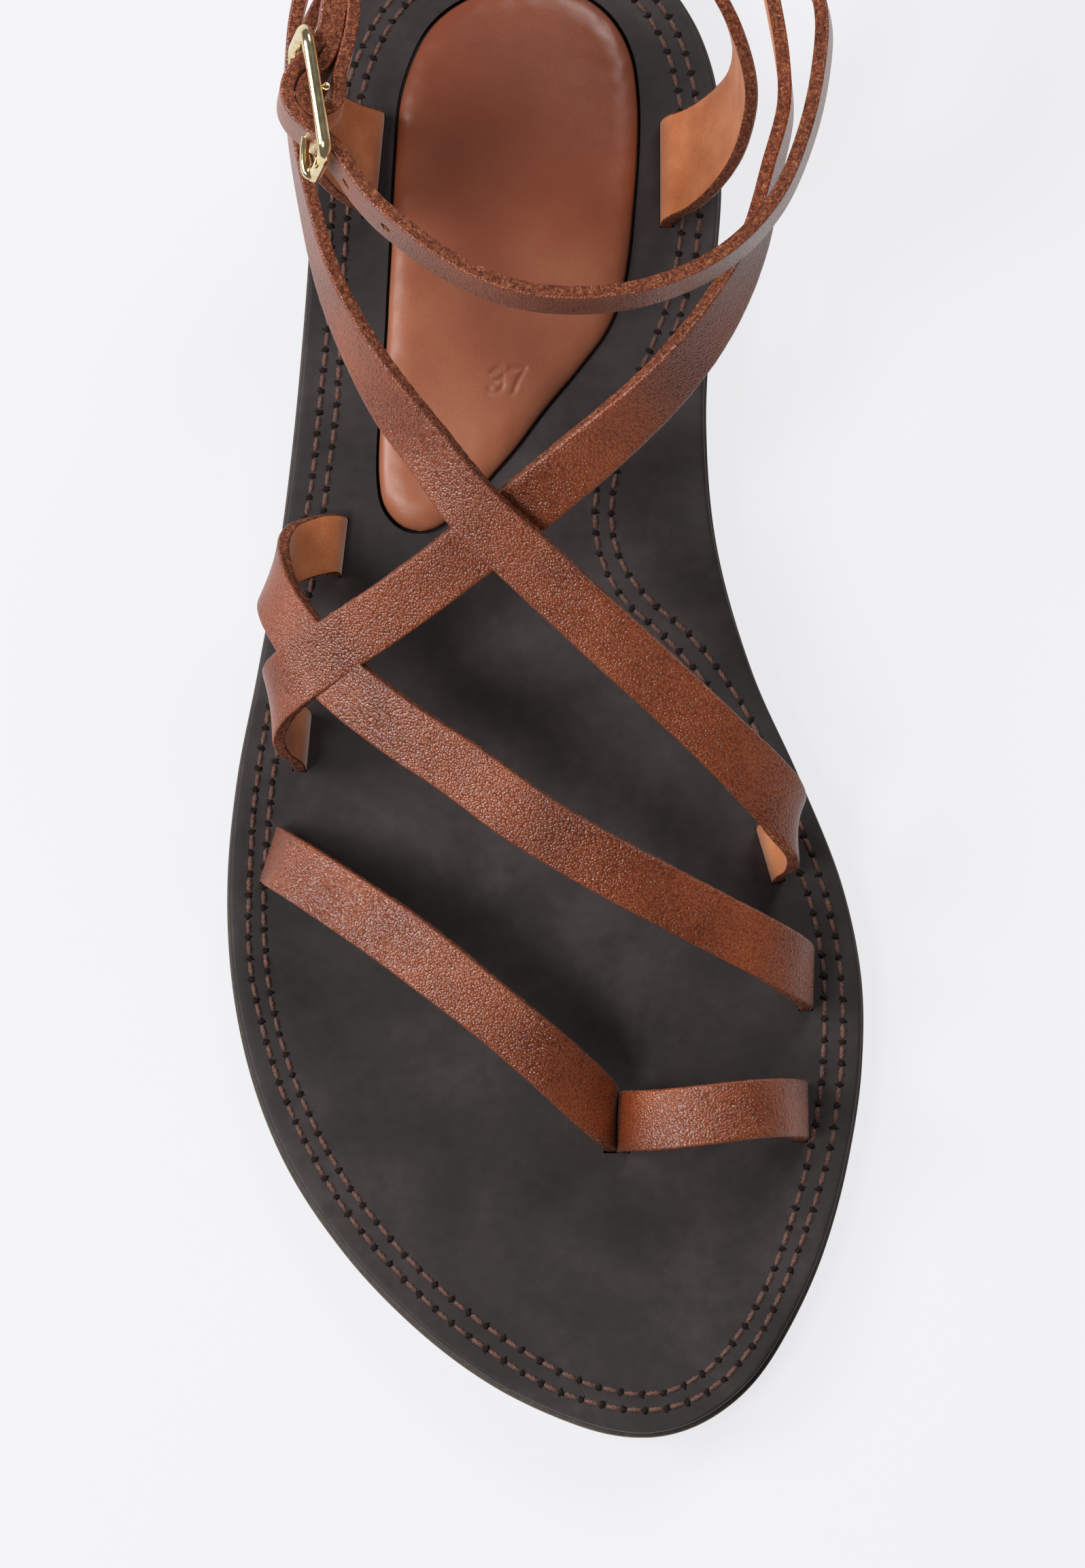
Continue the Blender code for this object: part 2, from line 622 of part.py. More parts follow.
def buckle_point(forward, out, up=0.0):
    """Point given by its distances from the middle of the buckle frame."""
    return BUCKLE_CENTRE + forward * BUCKLE_FORWARD + out * BUCKLE_OUT + up * BUCKLE_UP


def level_point(forward, out):
    """Point at the straps' own height, given by its distances from the middle of the frame."""
    return BUCKLE_CENTRE + forward * BUCKLE_FORWARD + out * AWAY_FROM_LEG


def buckle_rows(pairs, turn):
    """Strap rows standing on edge at places measured from the middle of the buckle."""
    return np.array([(*level_point(f * MM, o * MM), turn, BUCKLE_RISE, 1.0) for f, o in pairs])


def bar_fold():
    """Places of the strap end that goes forward, round the bar and back over itself."""
    angles = np.radians(np.arange(-90, 91, 30))
    radius, forward, out = FOLD_RADIUS / MM, BAR_FORWARD / MM, BAR_OUT / MM
    turn = [(forward + radius * np.cos(a), out + radius * np.sin(a)) for a in angles]
    return BAR_FOLD_IN + turn + BAR_FOLD_BACK


def tube(name, middle, radius, sides, side_way, closed, paint):
    """Round bar swept along a flat line; side_way is square to the plane of the line."""
    count = len(middle)
    way = unit(np.roll(middle, -1, 0) - np.roll(middle, 1, 0)) if closed else unit(
        np.gradient(middle, axis=0))
    across = np.cross(way, side_way)
    angles = np.arange(sides) / sides * 2 * np.pi + np.pi / sides
    radius = np.broadcast_to(radius, count)
    points = (middle[:, None] + radius[:, None, None] * (
        np.cos(angles)[None, :, None] * across[:, None]
        + np.sin(angles)[None, :, None] * side_way[None, None])).reshape(-1, 3)
    spans = count if closed else count - 1
    faces = [
        (k * sides + i, k * sides + (i + 1) % sides,
         (k + 1) % count * sides + (i + 1) % sides, (k + 1) % count * sides + i)
        for k in range(spans) for i in range(sides)
    ]
    if not closed:
        faces += [tuple(range(sides)), tuple(range((count - 1) * sides, count * sides))]
    return solid(name, points, faces, paint, smooth=True)


def frame_line(steps=6):
    """Middle line of the frame's wire: a rectangle with rounded corners."""
    long = (FRAME_LENGTH - FRAME_WIRE) / 2 - FRAME_CORNER
    high = (FRAME_HEIGHT - FRAME_WIRE) / 2 - FRAME_CORNER
    points = []
    for k, (a, b) in enumerate(((1, 1), (-1, 1), (-1, -1), (1, -1))):
        for angle in np.radians(np.linspace(90 * k, 90 * k + 90, steps)):
            forward = a * long + FRAME_CORNER * np.cos(angle)
            up = b * high + FRAME_CORNER * np.sin(angle)
            points.append(buckle_point(forward, 0.0, up))
    return np.array(points)


def build_frame(paint):
    frame = tube("buckle_frame", frame_line(), FRAME_WIRE / 2, 12, BUCKLE_OUT, True, paint)
    reach = FRAME_HEIGHT / 2 - 0.4 * MM
    bar = np.array([buckle_point(BAR_FORWARD, BAR_OUT, u) for u in (-reach, 0, reach)])
    combine(frame, tube("bar", bar, BAR_DIAMETER / 2, 12, BUCKLE_OUT, False, paint), "UNION")
    return frame


def prong_line():
    """Middle line of the prong, from its ring over the front of the frame."""
    rest = (FRAME_WIRE + PRONG_DIAMETER) / 2 + GAP + 0.1 * MM
    front = (FRAME_LENGTH - FRAME_WIRE) / 2
    start = (BAR_FORWARD + 0.85 * MM, BAR_OUT + 0.85 * MM)
    flat = [start, (front * 0.45, rest * 0.5), (front * 0.8, rest * 0.93), (front, rest),
            (front + 0.9 * MM, rest * 0.93), (front + 1.6 * MM, rest * 0.75)]
    return np.array([buckle_point(f, o) for f, o in flat])


def build_prong(paint):
    middle = prong_line()
    marks = distances(middle)
    fine = through(marks, middle, np.linspace(0, marks[-1], 15))
    radius = np.full(15, PRONG_DIAMETER / 2)
    radius[-2:] = PRONG_DIAMETER * np.array([0.42, 0.28])
    prong = tube("buckle_prong", fine, radius, 10, BUCKLE_UP, False, paint)
    inner = BAR_DIAMETER / 2 + GAP
    ends = np.array([buckle_point(BAR_FORWARD, BAR_OUT, u * MM) for u in (-0.8, 0, 0.8)])
    combine(prong, tube("ring", ends, inner + PRONG_RING_WALL, 20, BUCKLE_OUT, False, paint), "UNION")
    ends = np.array([buckle_point(BAR_FORWARD, BAR_OUT, u * MM) for u in (-2, 0, 2)])
    combine(prong, tube("bore", ends, inner, 20, BUCKLE_OUT, False, paint), "DIFFERENCE")
    prong.data.shade_smooth()
    return prong


def prong_cutter():
    """Square channel round the prong and its ring, where they pass through the leather."""
    line = prong_line()
    line = np.vstack((line[0] - unit(line[1] - line[0]) * MM, line))
    marks = distances(line)
    fine = through(marks, line, np.linspace(0.0, marks[-1] * 0.72, 8))
    edge = np.tile(BUCKLE_UP, (8, 1))
    return band("prong_slot", fine, edge, np.full(8, PRONG_SLOT), PRONG_SLOT + 0.2 * MM, None)


def hole_cutter(place):
    """Round punch through the strap, square to it."""
    middle = level_point(place[0] * MM, place[1] * MM)
    away = unit(middle[:2] - np.array([6.0, -4.0]) * MM)
    away = np.array([away[0], away[1], 0.0])
    line = np.array([middle - away * 4 * MM, middle, middle + away * 4 * MM])
    return tube("hole_cutter", line, HOLE_DIAMETER / 2, 12, BUCKLE_UP, False, None)


def build_upper(paint):
    """Joins the straps where they cross, then cuts the holes the buckle needs."""
    woven = buckle_rows(TAIL_WEAVE, BUCKLE_TURN - 360)
    folded = buckle_rows(bar_fold(), BUCKLE_TURN + 360)
    upper = strap("upper", MEDIAL_STRAP, (True, False), paint, woven)
    lateral = strap("lateral_strap", LATERAL_STRAP, (True, False), paint, folded)
    combine(upper, lateral, "UNION")
    combine(upper, strap("middle_strap", MIDDLE_STRAP, (True, True), paint), "UNION")
    combine(upper, strap("heel_strap", heel_strap_rows(), (True, True), paint), "UNION")
    combine(upper, prong_cutter(), "DIFFERENCE")
    for place in PUNCHED_HOLES:
        combine(upper, hole_cutter(place), "DIFFERENCE")
    return upper


def main():
    clear_scene()
    strap_leather = material("strap_leather", (0.225, 0.065, 0.026), 0.45, 0.0)
    pad_leather = material("pad_leather", (0.180, 0.055, 0.028), 0.55, 0.0)
    sole_leather = material("sole_leather", (0.042, 0.036, 0.035), 0.5, 0.0)
    outsole_rubber = material("outsole_rubber", (0.030, 0.026, 0.022), 0.7, 0.0)
    gold = material("pale_gold", (0.78, 0.62, 0.36), 0.22, 1.0)
    made = [
        build_outsole(outsole_rubber),
        build_heel_lift(outsole_rubber),
        build_insole(sole_leather),
        build_heel_pad(pad_leather),
        build_toe_strap(strap_leather),
        build_upper(strap_leather),
        build_frame(gold),
        build_prong(gold),
    ]
    for thing in made:
        tidy(thing)


main()
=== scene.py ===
"""Looks of a tie-up sandal for the right foot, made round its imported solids.

Frame: metres, origin on the floor under the middle of the heel, toe towards -Y, the
big-toe side towards +X. Every leather strap is a closed profile carried along the same
line as its solid, so it stays where the solid is.
"""

import bmesh
import bpy
import numpy as np
from mathutils import Matrix


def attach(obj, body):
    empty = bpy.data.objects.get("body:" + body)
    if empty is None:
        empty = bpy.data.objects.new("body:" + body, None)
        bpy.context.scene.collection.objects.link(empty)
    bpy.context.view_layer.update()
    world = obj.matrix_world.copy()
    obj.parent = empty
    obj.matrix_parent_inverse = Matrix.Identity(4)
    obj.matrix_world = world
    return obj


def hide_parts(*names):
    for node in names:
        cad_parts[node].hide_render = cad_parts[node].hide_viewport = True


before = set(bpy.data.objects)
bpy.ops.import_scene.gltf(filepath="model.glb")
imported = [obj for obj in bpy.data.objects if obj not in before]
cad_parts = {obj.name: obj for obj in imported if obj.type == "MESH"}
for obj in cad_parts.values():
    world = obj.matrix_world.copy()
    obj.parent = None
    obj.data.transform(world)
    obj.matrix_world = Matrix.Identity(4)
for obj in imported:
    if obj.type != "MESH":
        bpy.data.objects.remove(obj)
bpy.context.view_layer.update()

MM = 0.001

# Sizes shared with the solids
SOLE_LENGTH = 248.0 * MM
BALL_WIDTH = 103.0 * MM
HEEL_BACK = 38.4 * MM
OUTSOLE_THICKNESS = 3.2 * MM
INSOLE_THICKNESS = 3.8 * MM
HEEL_LIFT_HEIGHT = 6.5 * MM
HEEL_INSET = 0.8 * MM
TOE_SPRING = 4.5 * MM
ARCH_RISE = 1.6 * MM
INSOLE_INSET = 0.5 * MM
EDGE_ROUND = 0.7 * MM
BREAST_Y = -38.0 * MM
SHANK_FRONT_Y = -94.0 * MM
SHANK_BACK_Y = -32.0 * MM
TREAD_FRONT_Y = -150.0 * MM
PAD_LENGTH = 90.4 * MM
PAD_WIDTH = 40.0 * MM
PAD_BACK = 26.9 * MM
PAD_CROWN = 2.3 * MM
PAD_ROUND = 4.5 * MM
RECESS_DEPTH = 1.6 * MM
RECESS_GAP = 0.5 * MM
STRAP_WIDTH = 9.4 * MM
STRAP_THICKNESS = 2.1 * MM
ANKLE_HEIGHT = 85.0 * MM
FOOT_ABOVE = 0.8 * MM
FRAME_LENGTH = 22.2 * MM
FRAME_HEIGHT = 15.1 * MM
FRAME_WIRE = 2.1 * MM
FRAME_CORNER = 2.6 * MM
BAR_DIAMETER = 1.25 * MM
PRONG_DIAMETER = 1.4 * MM
PRONG_RING_WALL = 0.35 * MM
FOLD_RADIUS = 2.75 * MM
HOLE_DIAMETER = 1.9 * MM
GAP = 0.3 * MM
BUCKLE_ACROSS = -0.3058
BUCKLE_ALONG = 0.2081
BUCKLE_LEAN = np.radians(11.0)
BUCKLE_CENTRE = np.array([
    BUCKLE_ACROSS * BALL_WIDTH, HEEL_BACK - BUCKLE_ALONG * SOLE_LENGTH, ANKLE_HEIGHT])
BUCKLE_FORWARD = np.array([0.154, -0.988, 0.0])
AWAY_FROM_LEG = np.array([-0.988, -0.154, 0.0])
BUCKLE_OUT = np.cos(BUCKLE_LEAN) * AWAY_FROM_LEG + np.sin(BUCKLE_LEAN) * np.array([0, 0, 1])
BUCKLE_UP = np.cos(BUCKLE_LEAN) * np.array([0, 0, 1]) - np.sin(BUCKLE_LEAN) * AWAY_FROM_LEG
BUCKLE_TURN = 9.0
BUCKLE_RISE = 84.0
BAR_FORWARD = -0.4 * MM
BAR_OUT = -1.55 * MM

# Sizes of the looks only
STRAP_STEP = 0.4 * MM
RIM_ROUND = 0.4 * MM
STITCH_PITCH = 3.45 * MM
SLOT_SLIP = 0.12 * MM
THREAD_RADIUS = 0.36 * MM
THREAD_RISE = 0.30 * MM
THREAD_DIP = 0.22 * MM
STITCH_SAMPLES = 2400
CUT_PAST = 2 * MM
SHARP_ANGLE = np.radians(42)
END_ANGLE = 0.02
PAD_END_ANGLE = 0.03
PAD_PUCKER = 0.06 * MM
PAD_SWELL = 0.12 * MM
FOOT_ROWS = 12
FOOT_STEP = 0.42 * MM
TIP_LENGTH = 6 * MM
WIDTH_WAVER = 0.07 * MM
LIE_WAVER = 0.05 * MM
FUZZ_OUT = 0.045 * MM
FUZZ_DEEP = 0.02 * MM
LEG_MIDDLE = np.array([6.0, -4.0]) * MM
PUNCH_REACH = 4 * MM

# Studio: softboxes are name, place, side and power; the floor lies just under the sole
SOFTBOXES = (
    ("softbox_behind", (0.40, 0.80, 0.95), 0.5, 8.5),
    ("softbox_left", (-0.98, 0.0, 0.78), 0.55, 13.0),
    ("softbox_front", (-0.57, -0.46, 1.16), 0.32, 8.0),
)
SOFTBOX_TARGET = (0.0, -0.08, 0.0)
AIR_STRENGTH = 0.16
FLOOR_REACH = 3.0
FLOOR_DROP = 0.2 * MM
CAMERA_PLACE = (0.0036, -0.2458, 0.8989)
CAMERA_TILT = np.radians(9.0)
CAMERA_LENS = 128.14
SENSOR_WIDTH = 36.0
NEAREST_SEEN = 0.05

# Outline of the sole, in thousandths: along (share of length from the heel), lateral and
# medial edge (shares of the ball width from the heel's middle line)
SOLE_OUTLINE = np.array([
    (0, -5, -5), (12, -145, 132), (45, -250, 245), (100, -320, 308), (180, -331, 320),
    (260, -342, 305), (340, -358, 294), (420, -382, 311), (500, -416, 367), (570, -447, 441),
    (640, -461, 506), (700, -454, 535), (760, -426, 535), (820, -371, 513), (880, -276, 473),
    (930, -161, 418), (965, -49, 362), (988, 63, 294), (1000, 190, 190),
]) / 1000

# Outline of the pad, in thousandths: along (share of its length from its back), lateral
# and medial edge (shares of its width from the heel's middle line)
PAD_OUTLINE = np.array([
    (0, 40, 40), (20, -190, 250), (75, -360, 390), (140, -440, 455), (205, -485, 475),
    (330, -510, 473), (420, -520, 457), (500, -525, 440), (570, -533, 412), (645, -540, 345),
    (710, -550, 237), (785, -563, 95), (850, -572, -15), (905, -572, -123), (950, -555, -210),
    (980, -510, -290), (1000, -400, -400),
]) / 1000


def strap_table(rows):
    """Strap rows as shares; a row without a width has the strap's own."""
    return np.array([(*row, 1.0)[:6] for row in rows]) / (1000, 10000, 1000, 1, 1, 1)


# Strap tables of across, along, height, turn, rise, width. across: thousandths of ball
# width; along: ten-thousandths of sole length from the heel; height: thousandths of ankle
# height; turn: heading of the strap's back edge in degrees from the medial direction;
# rise: tilt of that edge above level in degrees; width: share of strap width. A row of
# height 0 is a foot in its slot, set to the sole's height.
TOE_BAND = strap_table([
    (-384, 6250, 0, 73, 0), (-380, 6285, 165, 72, 2), (-366, 6345, 215, 68, 6),
    (-335, 6440, 255, 62, 10), (-285, 6590, 285, 56, 14), (-190, 6870, 310, 51, 17),
    (-91, 7190, 318, 50, 17), (5, 7510, 300, 50, 15), (60, 7695, 265, 54, 11),
    (108, 7860, 205, 66, 6), (134, 7950, 150, 82, 2), (141, 7975, 0, 90, 0),
])
TOE_LOOP = strap_table([
    (160, 7985, 0, 90, 0), (165, 7995, 165, 90, 0), (181, 8015, 225, 92, 1),
    (212, 8025, 270, 94, 3), (255, 8015, 295, 95, 4), (300, 7995, 300, 95, 4),
    (352, 7965, 288, 95, 3), (401, 7940, 248, 93, 2), (431, 7925, 180, 91, 0),
    (436, 7915, 0, 90, 0),
])
MIDDLE_STRAP = strap_table([
    (-287, 4215, 0, 83, 0), (-293, 4220, 160, 83, 2), (-322, 4260, 195, 84, 6),
    (-356, 4350, 237, 80, 12), (-378, 4510, 290, 68, 26), (-377, 4650, 332, 55, 37),
    (-362, 4810, 368, 50, 36), (-330, 5020, 400, 50, 32), (-280, 5260, 420, 54, 27),
    (-190, 5575, 435, 56, 23), (-92, 5855, 440, 57, 20), (14, 6175, 435, 60, 18),
    (119, 6425, 408, 62, 17), (224, 6635, 360, 63, 15), (329, 6835, 300, 64, 12),
    (390, 6950, 258, 68, 8), (430, 7030, 205, 78, 4), (444, 7060, 160, 86, 1),
    (446, 7060, 0, 90, 0),
])
LATERAL_STRAP = strap_table([
    (-343, 5490, 0, 85, 0), (-347, 5485, 165, 86, 0), (-366, 5450, 220, 90, 0),
    (-376, 5380, 285, 98, 0), (-367, 5300, 350, 110, 0), (-341, 5230, 397, 120, 2),
    (-300, 5130, 432, 125, 6), (-195, 4880, 503, 128, 15), (-91, 4600, 566, 127, 22),
    (13, 4290, 618, 126, 28), (114, 3970, 668, 128, 35), (214, 3620, 722, 138, 48),
    (296, 3210, 784, 148, 62), (345, 2830, 844, 160, 74), (373, 2400, 897, 171, 82),
    (392, 2040, 925, 175, 85), (389, 1750, 942, 182, 87), (373, 1370, 955, 198, 87),
    (340, 860, 968, 225, 86), (240, 430, 982, 248, 86), (115, 260, 990, 262, 86),
    (0, 250, 996, 275, 86), (-105, 400, 1000, 292, 86), (-185, 740, 1000, 315, 85),
    (-235, 1200, 1000, 345, 84),
])
# How the lateral strap goes round the buckle bar and how the end of the medial strap weaves
# through the frame, in millimetres forward of and outside the middle of the frame
BAR_FOLD_IN = [(-14.0, -8.7), (-10.5, -7.9), (-7.5, -6.8), (-5.0, -5.7), (-2.7, -4.7)]
BAR_FOLD_BACK = [
    (-1.9, 0.7), (-3.3, -0.75), (-4.7, -2.5), (-6.5, -3.9), (-9.6, -5.25), (-13.0, -6.35),
    (-17.0, -8.0)]
TAIL_WEAVE = [
    (16.9, -6.8), (14.0, -5.1), (11.3, -3.9), (9.6, -3.1), (7.8, -2.05), (6.0, -0.5),
    (4.0, 1.35), (2.0, 2.85), (-0.4, 3.55), (-2.8, 3.05), (-4.8, 1.5), (-6.6, -0.7),
    (-8.4, -2.65), (-10.05, -3.6), (-12.5, -4.4), (-16.0, -5.4), (-20.0, -7.2), (-24.0, -9.9),
    (-27.5, -13.0),
]
PUNCHED_HOLES = [(12.7, -4.4), (20.1, -9.2)]
MEDIAL_STRAP = strap_table([
    (392, 6230, 0, 106, 0), (397, 6230, 165, 104, 1), (413, 6210, 215, 96, 3),
    (419, 6150, 265, 86, 6), (404, 6035, 315, 72, 8), (368, 5890, 365, 62, 10),
    (322, 5725, 410, 54, 12), (218, 5360, 488, 48, 17), (115, 5010, 560, 47, 22),
    (14, 4650, 615, 45, 26), (-70, 4330, 652, 43, 32), (-136, 3985, 676, 42, 44),
    (-184, 3730, 690, 39, 52), (-233, 3405, 706, 32, 64), (-280, 3000, 727, 24, 75),
    (-314, 2500, 753, 14, 82), (-334, 2050, 775, 6, 85), (-340, 1700, 788, 0, 86),
    (-332, 1300, 797, -8, 86), (-290, 800, 803, -32, 84), (-205, 350, 806, -58, 83),
    (-100, 110, 808, -76, 83), (5, 65, 812, -90, 83), (115, 110, 824, -104, 83),
    (225, 320, 856, -118, 83), (332, 690, 910, -140, 83), (414, 1120, 963, -160, 83),
    (447, 1550, 990, -178, 83), (442, 1905, 994, -188, 84), (417, 2310, 994, -203, 86),
    (375, 2700, 994, -220, 88), (290, 3060, 994, -240, 89), (186, 3250, 994, -257, 89),
    (86, 3300, 994, -270, 89), (-14, 3250, 995, -283, 88), (-115, 3055, 997, -300, 86),
    (-165, 2900, 998, -308, 85),
])
# Heel strap from the medial slot to the back; the lateral half mirrors it
HEEL_STRAP = strap_table([
    (232, 1750, 0, -90, 0, 1.85), (238, 1750, 215, -90, 0, 1.84), (268, 1740, 268, -89, 4, 1.8),
    (308, 1680, 355, -87, 14, 1.72), (339, 1560, 455, -84, 30, 1.6),
    (345, 1380, 545, -80, 44, 1.45), (323, 1140, 612, -80, 57, 1.28),
    (270, 800, 660, -84, 68, 1.13), (200, 410, 698, -88, 76, 1.03), (112, 180, 722, -90, 80),
    (5, 103, 733, -90, 82),
])
HEEL_MIDDLE = 0.005
LATERAL_HEEL_SHIFT = (-0.011, -0.006)

# Rows of stitches on the sole, as closed loops from the back of the heel by the lateral
# side to the toe and back by the arch: across (thousandths of ball width), along
# (ten-thousandths of length)
OUTER_STITCHES = np.array([
    (0, 165), (-120, 270), (-185, 450), (-219, 624), (-248, 838), (-270, 1066), (-286, 1450),
    (-299, 1990), (-304, 2770), (-317, 3312), (-326, 3710), (-346, 4200), (-372, 4750),
    (-395, 5257), (-409, 5600), (-418, 5922), (-423, 6312), (-425, 6646), (-421, 6993),
    (-406, 7295), (-366, 7823), (-318, 8232), (-262, 8600), (-191, 8944), (-113, 9251), (-25, 9518),
    (39, 9676), (108, 9784), (175, 9835), (246, 9805), (308, 9660), (362, 9404), (411, 9010),
    (450, 8593), (479, 8196), (497, 7755), (504, 7335), (498, 6913), (480, 6530), (456, 6222),
    (435, 5998), (405, 5710), (374, 5437), (340, 5180), (300, 4948), (257, 4749), (206, 4572),
    (167, 4373), (148, 4183), (143, 4021), (150, 3758), (172, 3450), (200, 3180), (230, 2930),
    (254, 2687), (277, 2293), (286, 1780), (279, 1228), (257, 857), (231, 638), (190, 450),
    (125, 270),
]) / (1000, 10000)
INNER_STITCHES = np.array([
    (0, 295), (-100, 370), (-160, 505), (-195, 647), (-228, 889), (-249, 1135), (-264, 1550),
    (-277, 2174), (-285, 2989), (-292, 3396), (-300, 3662), (-319, 4200), (-346, 4800),
    (-370, 5300), (-387, 5684), (-394, 5967), (-399, 6244), (-402, 6526), (-399, 6838),
    (-391, 7126), (-376, 7391), (-336, 7857), (-283, 8283), (-218, 8649), (-142, 8988), (-58, 9277),
    (34, 9529), (105, 9666), (170, 9731), (225, 9722), (283, 9600), (331, 9394), (370, 9132),
    (412, 8725), (445, 8270), (469, 7711), (475, 7268), (469, 6824), (451, 6500), (427, 6227),
    (392, 5900), (352, 5560), (318, 5280), (287, 5077), (262, 4947), (214, 4748), (166, 4571),
    (135, 4372), (120, 4172), (117, 4020), (124, 3756), (148, 3430), (176, 3180), (203, 2950),
    (228, 2686), (250, 2292), (259, 1750), (253, 1250), (241, 1010), (220, 785), (191, 591),
    (150, 435), (90, 335),
]) / (1000, 10000)

# Strokes of the size number pressed into the pad: runs of (right, up) in digit heights
THREE = [
    (0.06, 0.82), (0.16, 0.94), (0.31, 1.0), (0.47, 0.96), (0.57, 0.83), (0.55, 0.67),
    (0.43, 0.56), (0.28, 0.53), (0.44, 0.49), (0.54, 0.38), (0.55, 0.23), (0.46, 0.08),
    (0.30, 0.0), (0.12, 0.03), (0.02, 0.15)]
SEVEN = [(0.0, 0.86), (0.0, 1.0), (0.62, 1.0), (0.45, 0.62), (0.32, 0.30), (0.26, 0.0)]
DIGIT_STEP = 0.76
DIGIT_SLANT = 0.10
NUMBER_CORNER = (-5.2, -41.8)
NUMBER_HEIGHT = 4.0 * MM
NUMBER_DEPTH = 0.28 * MM
NUMBER_STROKE = 0.42 * MM


def linear(code):
    """Linear light of an sRGB hex colour, each channel by the standard curve."""
    shares = np.array([int(code[i:i + 2], 16) for i in (1, 3, 5)]) / 255
    return (*np.where(shares <= 0.04045, shares / 12.92, ((shares + 0.055) / 1.055) ** 2.4), 1.0)


def unit(vectors):
    """Vectors divided by their own length."""
    return vectors / np.linalg.norm(vectors, axis=-1, keepdims=True)


def distances(points):
    """Distance travelled along a run of points, from nought."""
    return np.concatenate(([0], np.cumsum(np.linalg.norm(np.diff(points, axis=0), axis=1))))


def through(marks, values, places, rise_start=False, fall_end=False):
    """Cubic curve through values at marks: slopes are weighted means of their neighbours'.

    A risen start or fallen end leaves or arrives straight up or down.
    """
    marks, values = np.asarray(marks, float), np.asarray(values, float)
    steps = np.diff(marks)[:, None]
    slopes = np.diff(values, axis=0) / steps
    ends = np.zeros_like(values)
    ends[1:-1] = (slopes[:-1] * steps[1:] + slopes[1:] * steps[:-1]) / (steps[1:] + steps[:-1])
    ends[0], ends[-1] = slopes[0], slopes[-1]
    if rise_start:
        ends[0] = np.eye(values.shape[1])[2]
    if fall_end:
        ends[-1] = -np.eye(values.shape[1])[2]
    k = np.clip(np.searchsorted(marks, places, side="right") - 1, 0, len(marks) - 2)
    h = (marks[k + 1] - marks[k])[:, None]
    s = (places - marks[k])[:, None] / h
    return (
        (2 * s**3 - 3 * s**2 + 1) * values[k] + (s**3 - 2 * s**2 + s) * h * ends[k]
        + (3 * s**2 - 2 * s**3) * values[k + 1] + (s**3 - s**2) * h * ends[k + 1]
    )


def ease(share):
    """Smooth step: three times the square less twice the cube of a share held to 0..1."""
    share = np.clip(share, 0.0, 1.0)
    return share * share * (3.0 - 2.0 * share)


def ripples(u, v, seed, longest, shortest, count=20):
    """Sum of seeded cosine waves in random directions, of lengths between two sizes."""
    rng = np.random.default_rng(seed)
    sizes = shortest * (longest / shortest) ** rng.random(count)
    turn, phase = rng.random((2, count)) * 2 * np.pi
    total = np.zeros(np.broadcast(u, v).shape)
    for size, angle, start in zip(sizes, turn, phase):
        total += np.cos(2 * np.pi * (u * np.cos(angle) + v * np.sin(angle)) / size + start)
    return total / np.sqrt(count)


def grid_faces(rows, columns, closed=True):
    """Corner numbers of the quads of a grid whose columns close round on themselves."""
    a = np.arange(rows - 1)[:, None] * columns
    i = np.arange(columns if closed else columns - 1)[None, :]
    j = (i + 1) % columns
    return np.stack([a + i, a + j, a + columns + j, a + columns + i], axis=-1).reshape(-1, 4)


def end_faces(rows, columns):
    """Corner numbers of the first and the last ring of a grid."""
    return np.arange(columns), np.arange(columns) + (rows - 1) * columns


def placed(name, data):
    """New object for its data, linked to the scene."""
    made = bpy.data.objects.new(name, data)
    bpy.context.scene.collection.objects.link(made)
    return made


def body(name, points, polygons):
    """Closed mesh object at the origin with its faces turned outwards."""
    mesh = bpy.data.meshes.new(name)
    mesh.from_pydata(points.tolist(), [], polygons)
    work = bmesh.new()
    work.from_mesh(mesh)
    bmesh.ops.recalc_face_normals(work, faces=work.faces)
    work.to_mesh(mesh)
    work.free()
    return placed(name, mesh)


def piece(name, points, faces, finishes, regions=None, uv=None, stands_for=(), ends=()):
    """Makes one closed visible object and gives it its finishes.

    regions picks a finish for each face; uv gives each point a place in metres on the surface;
    ends are single faces with many corners that close the ends of a swept form.
    """
    made = body(name, points.reshape(-1, 3), faces.tolist() + [list(map(int, end)) for end in ends])
    mesh = made.data
    for coat in finishes:
        mesh.materials.append(coat)
    if regions is not None:
        picked = np.concatenate((np.asarray(regions).ravel(), np.full(len(ends), regions[-1])))
        mesh.polygons.foreach_set("material_index", picked.astype(np.int32))
    if uv is not None:
        corners = np.zeros(len(mesh.loops), np.int32)
        mesh.loops.foreach_get("vertex_index", corners)
        layer = mesh.uv_layers.new(name="surface")
        layer.data.foreach_set("uv", uv.reshape(-1, 2)[corners].astype(np.float32).ravel())
    mesh.shade_smooth()
    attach(made, "root")
    if stands_for:
        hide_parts(*stands_for)
    return made


def cut(target, cutter):
    """Takes cutter's body out of target, then removes cutter."""
    step = target.modifiers.new("cut", "BOOLEAN")
    step.operation, step.solver, step.object = "DIFFERENCE", "EXACT", cutter
    graph = bpy.context.evaluated_depsgraph_get()
    made = bpy.data.meshes.new_from_object(target.evaluated_get(graph))
    target.modifiers.clear()
    target.data = made
    made.set_sharp_from_angle(angle=SHARP_ANGLE)
    bpy.data.objects.remove(cutter, do_unlink=True)


def scratch(name, parts):
    """Joins bodies, each (points, faces), into one object used only for cutting."""
    counts = np.cumsum([0] + [len(points) for points, faces in parts])
    faces = [(np.array(face) + first).tolist()
             for first, (_, body) in zip(counts, parts) for face in body]
    return body(name, np.vstack([points for points, _ in parts]), faces)


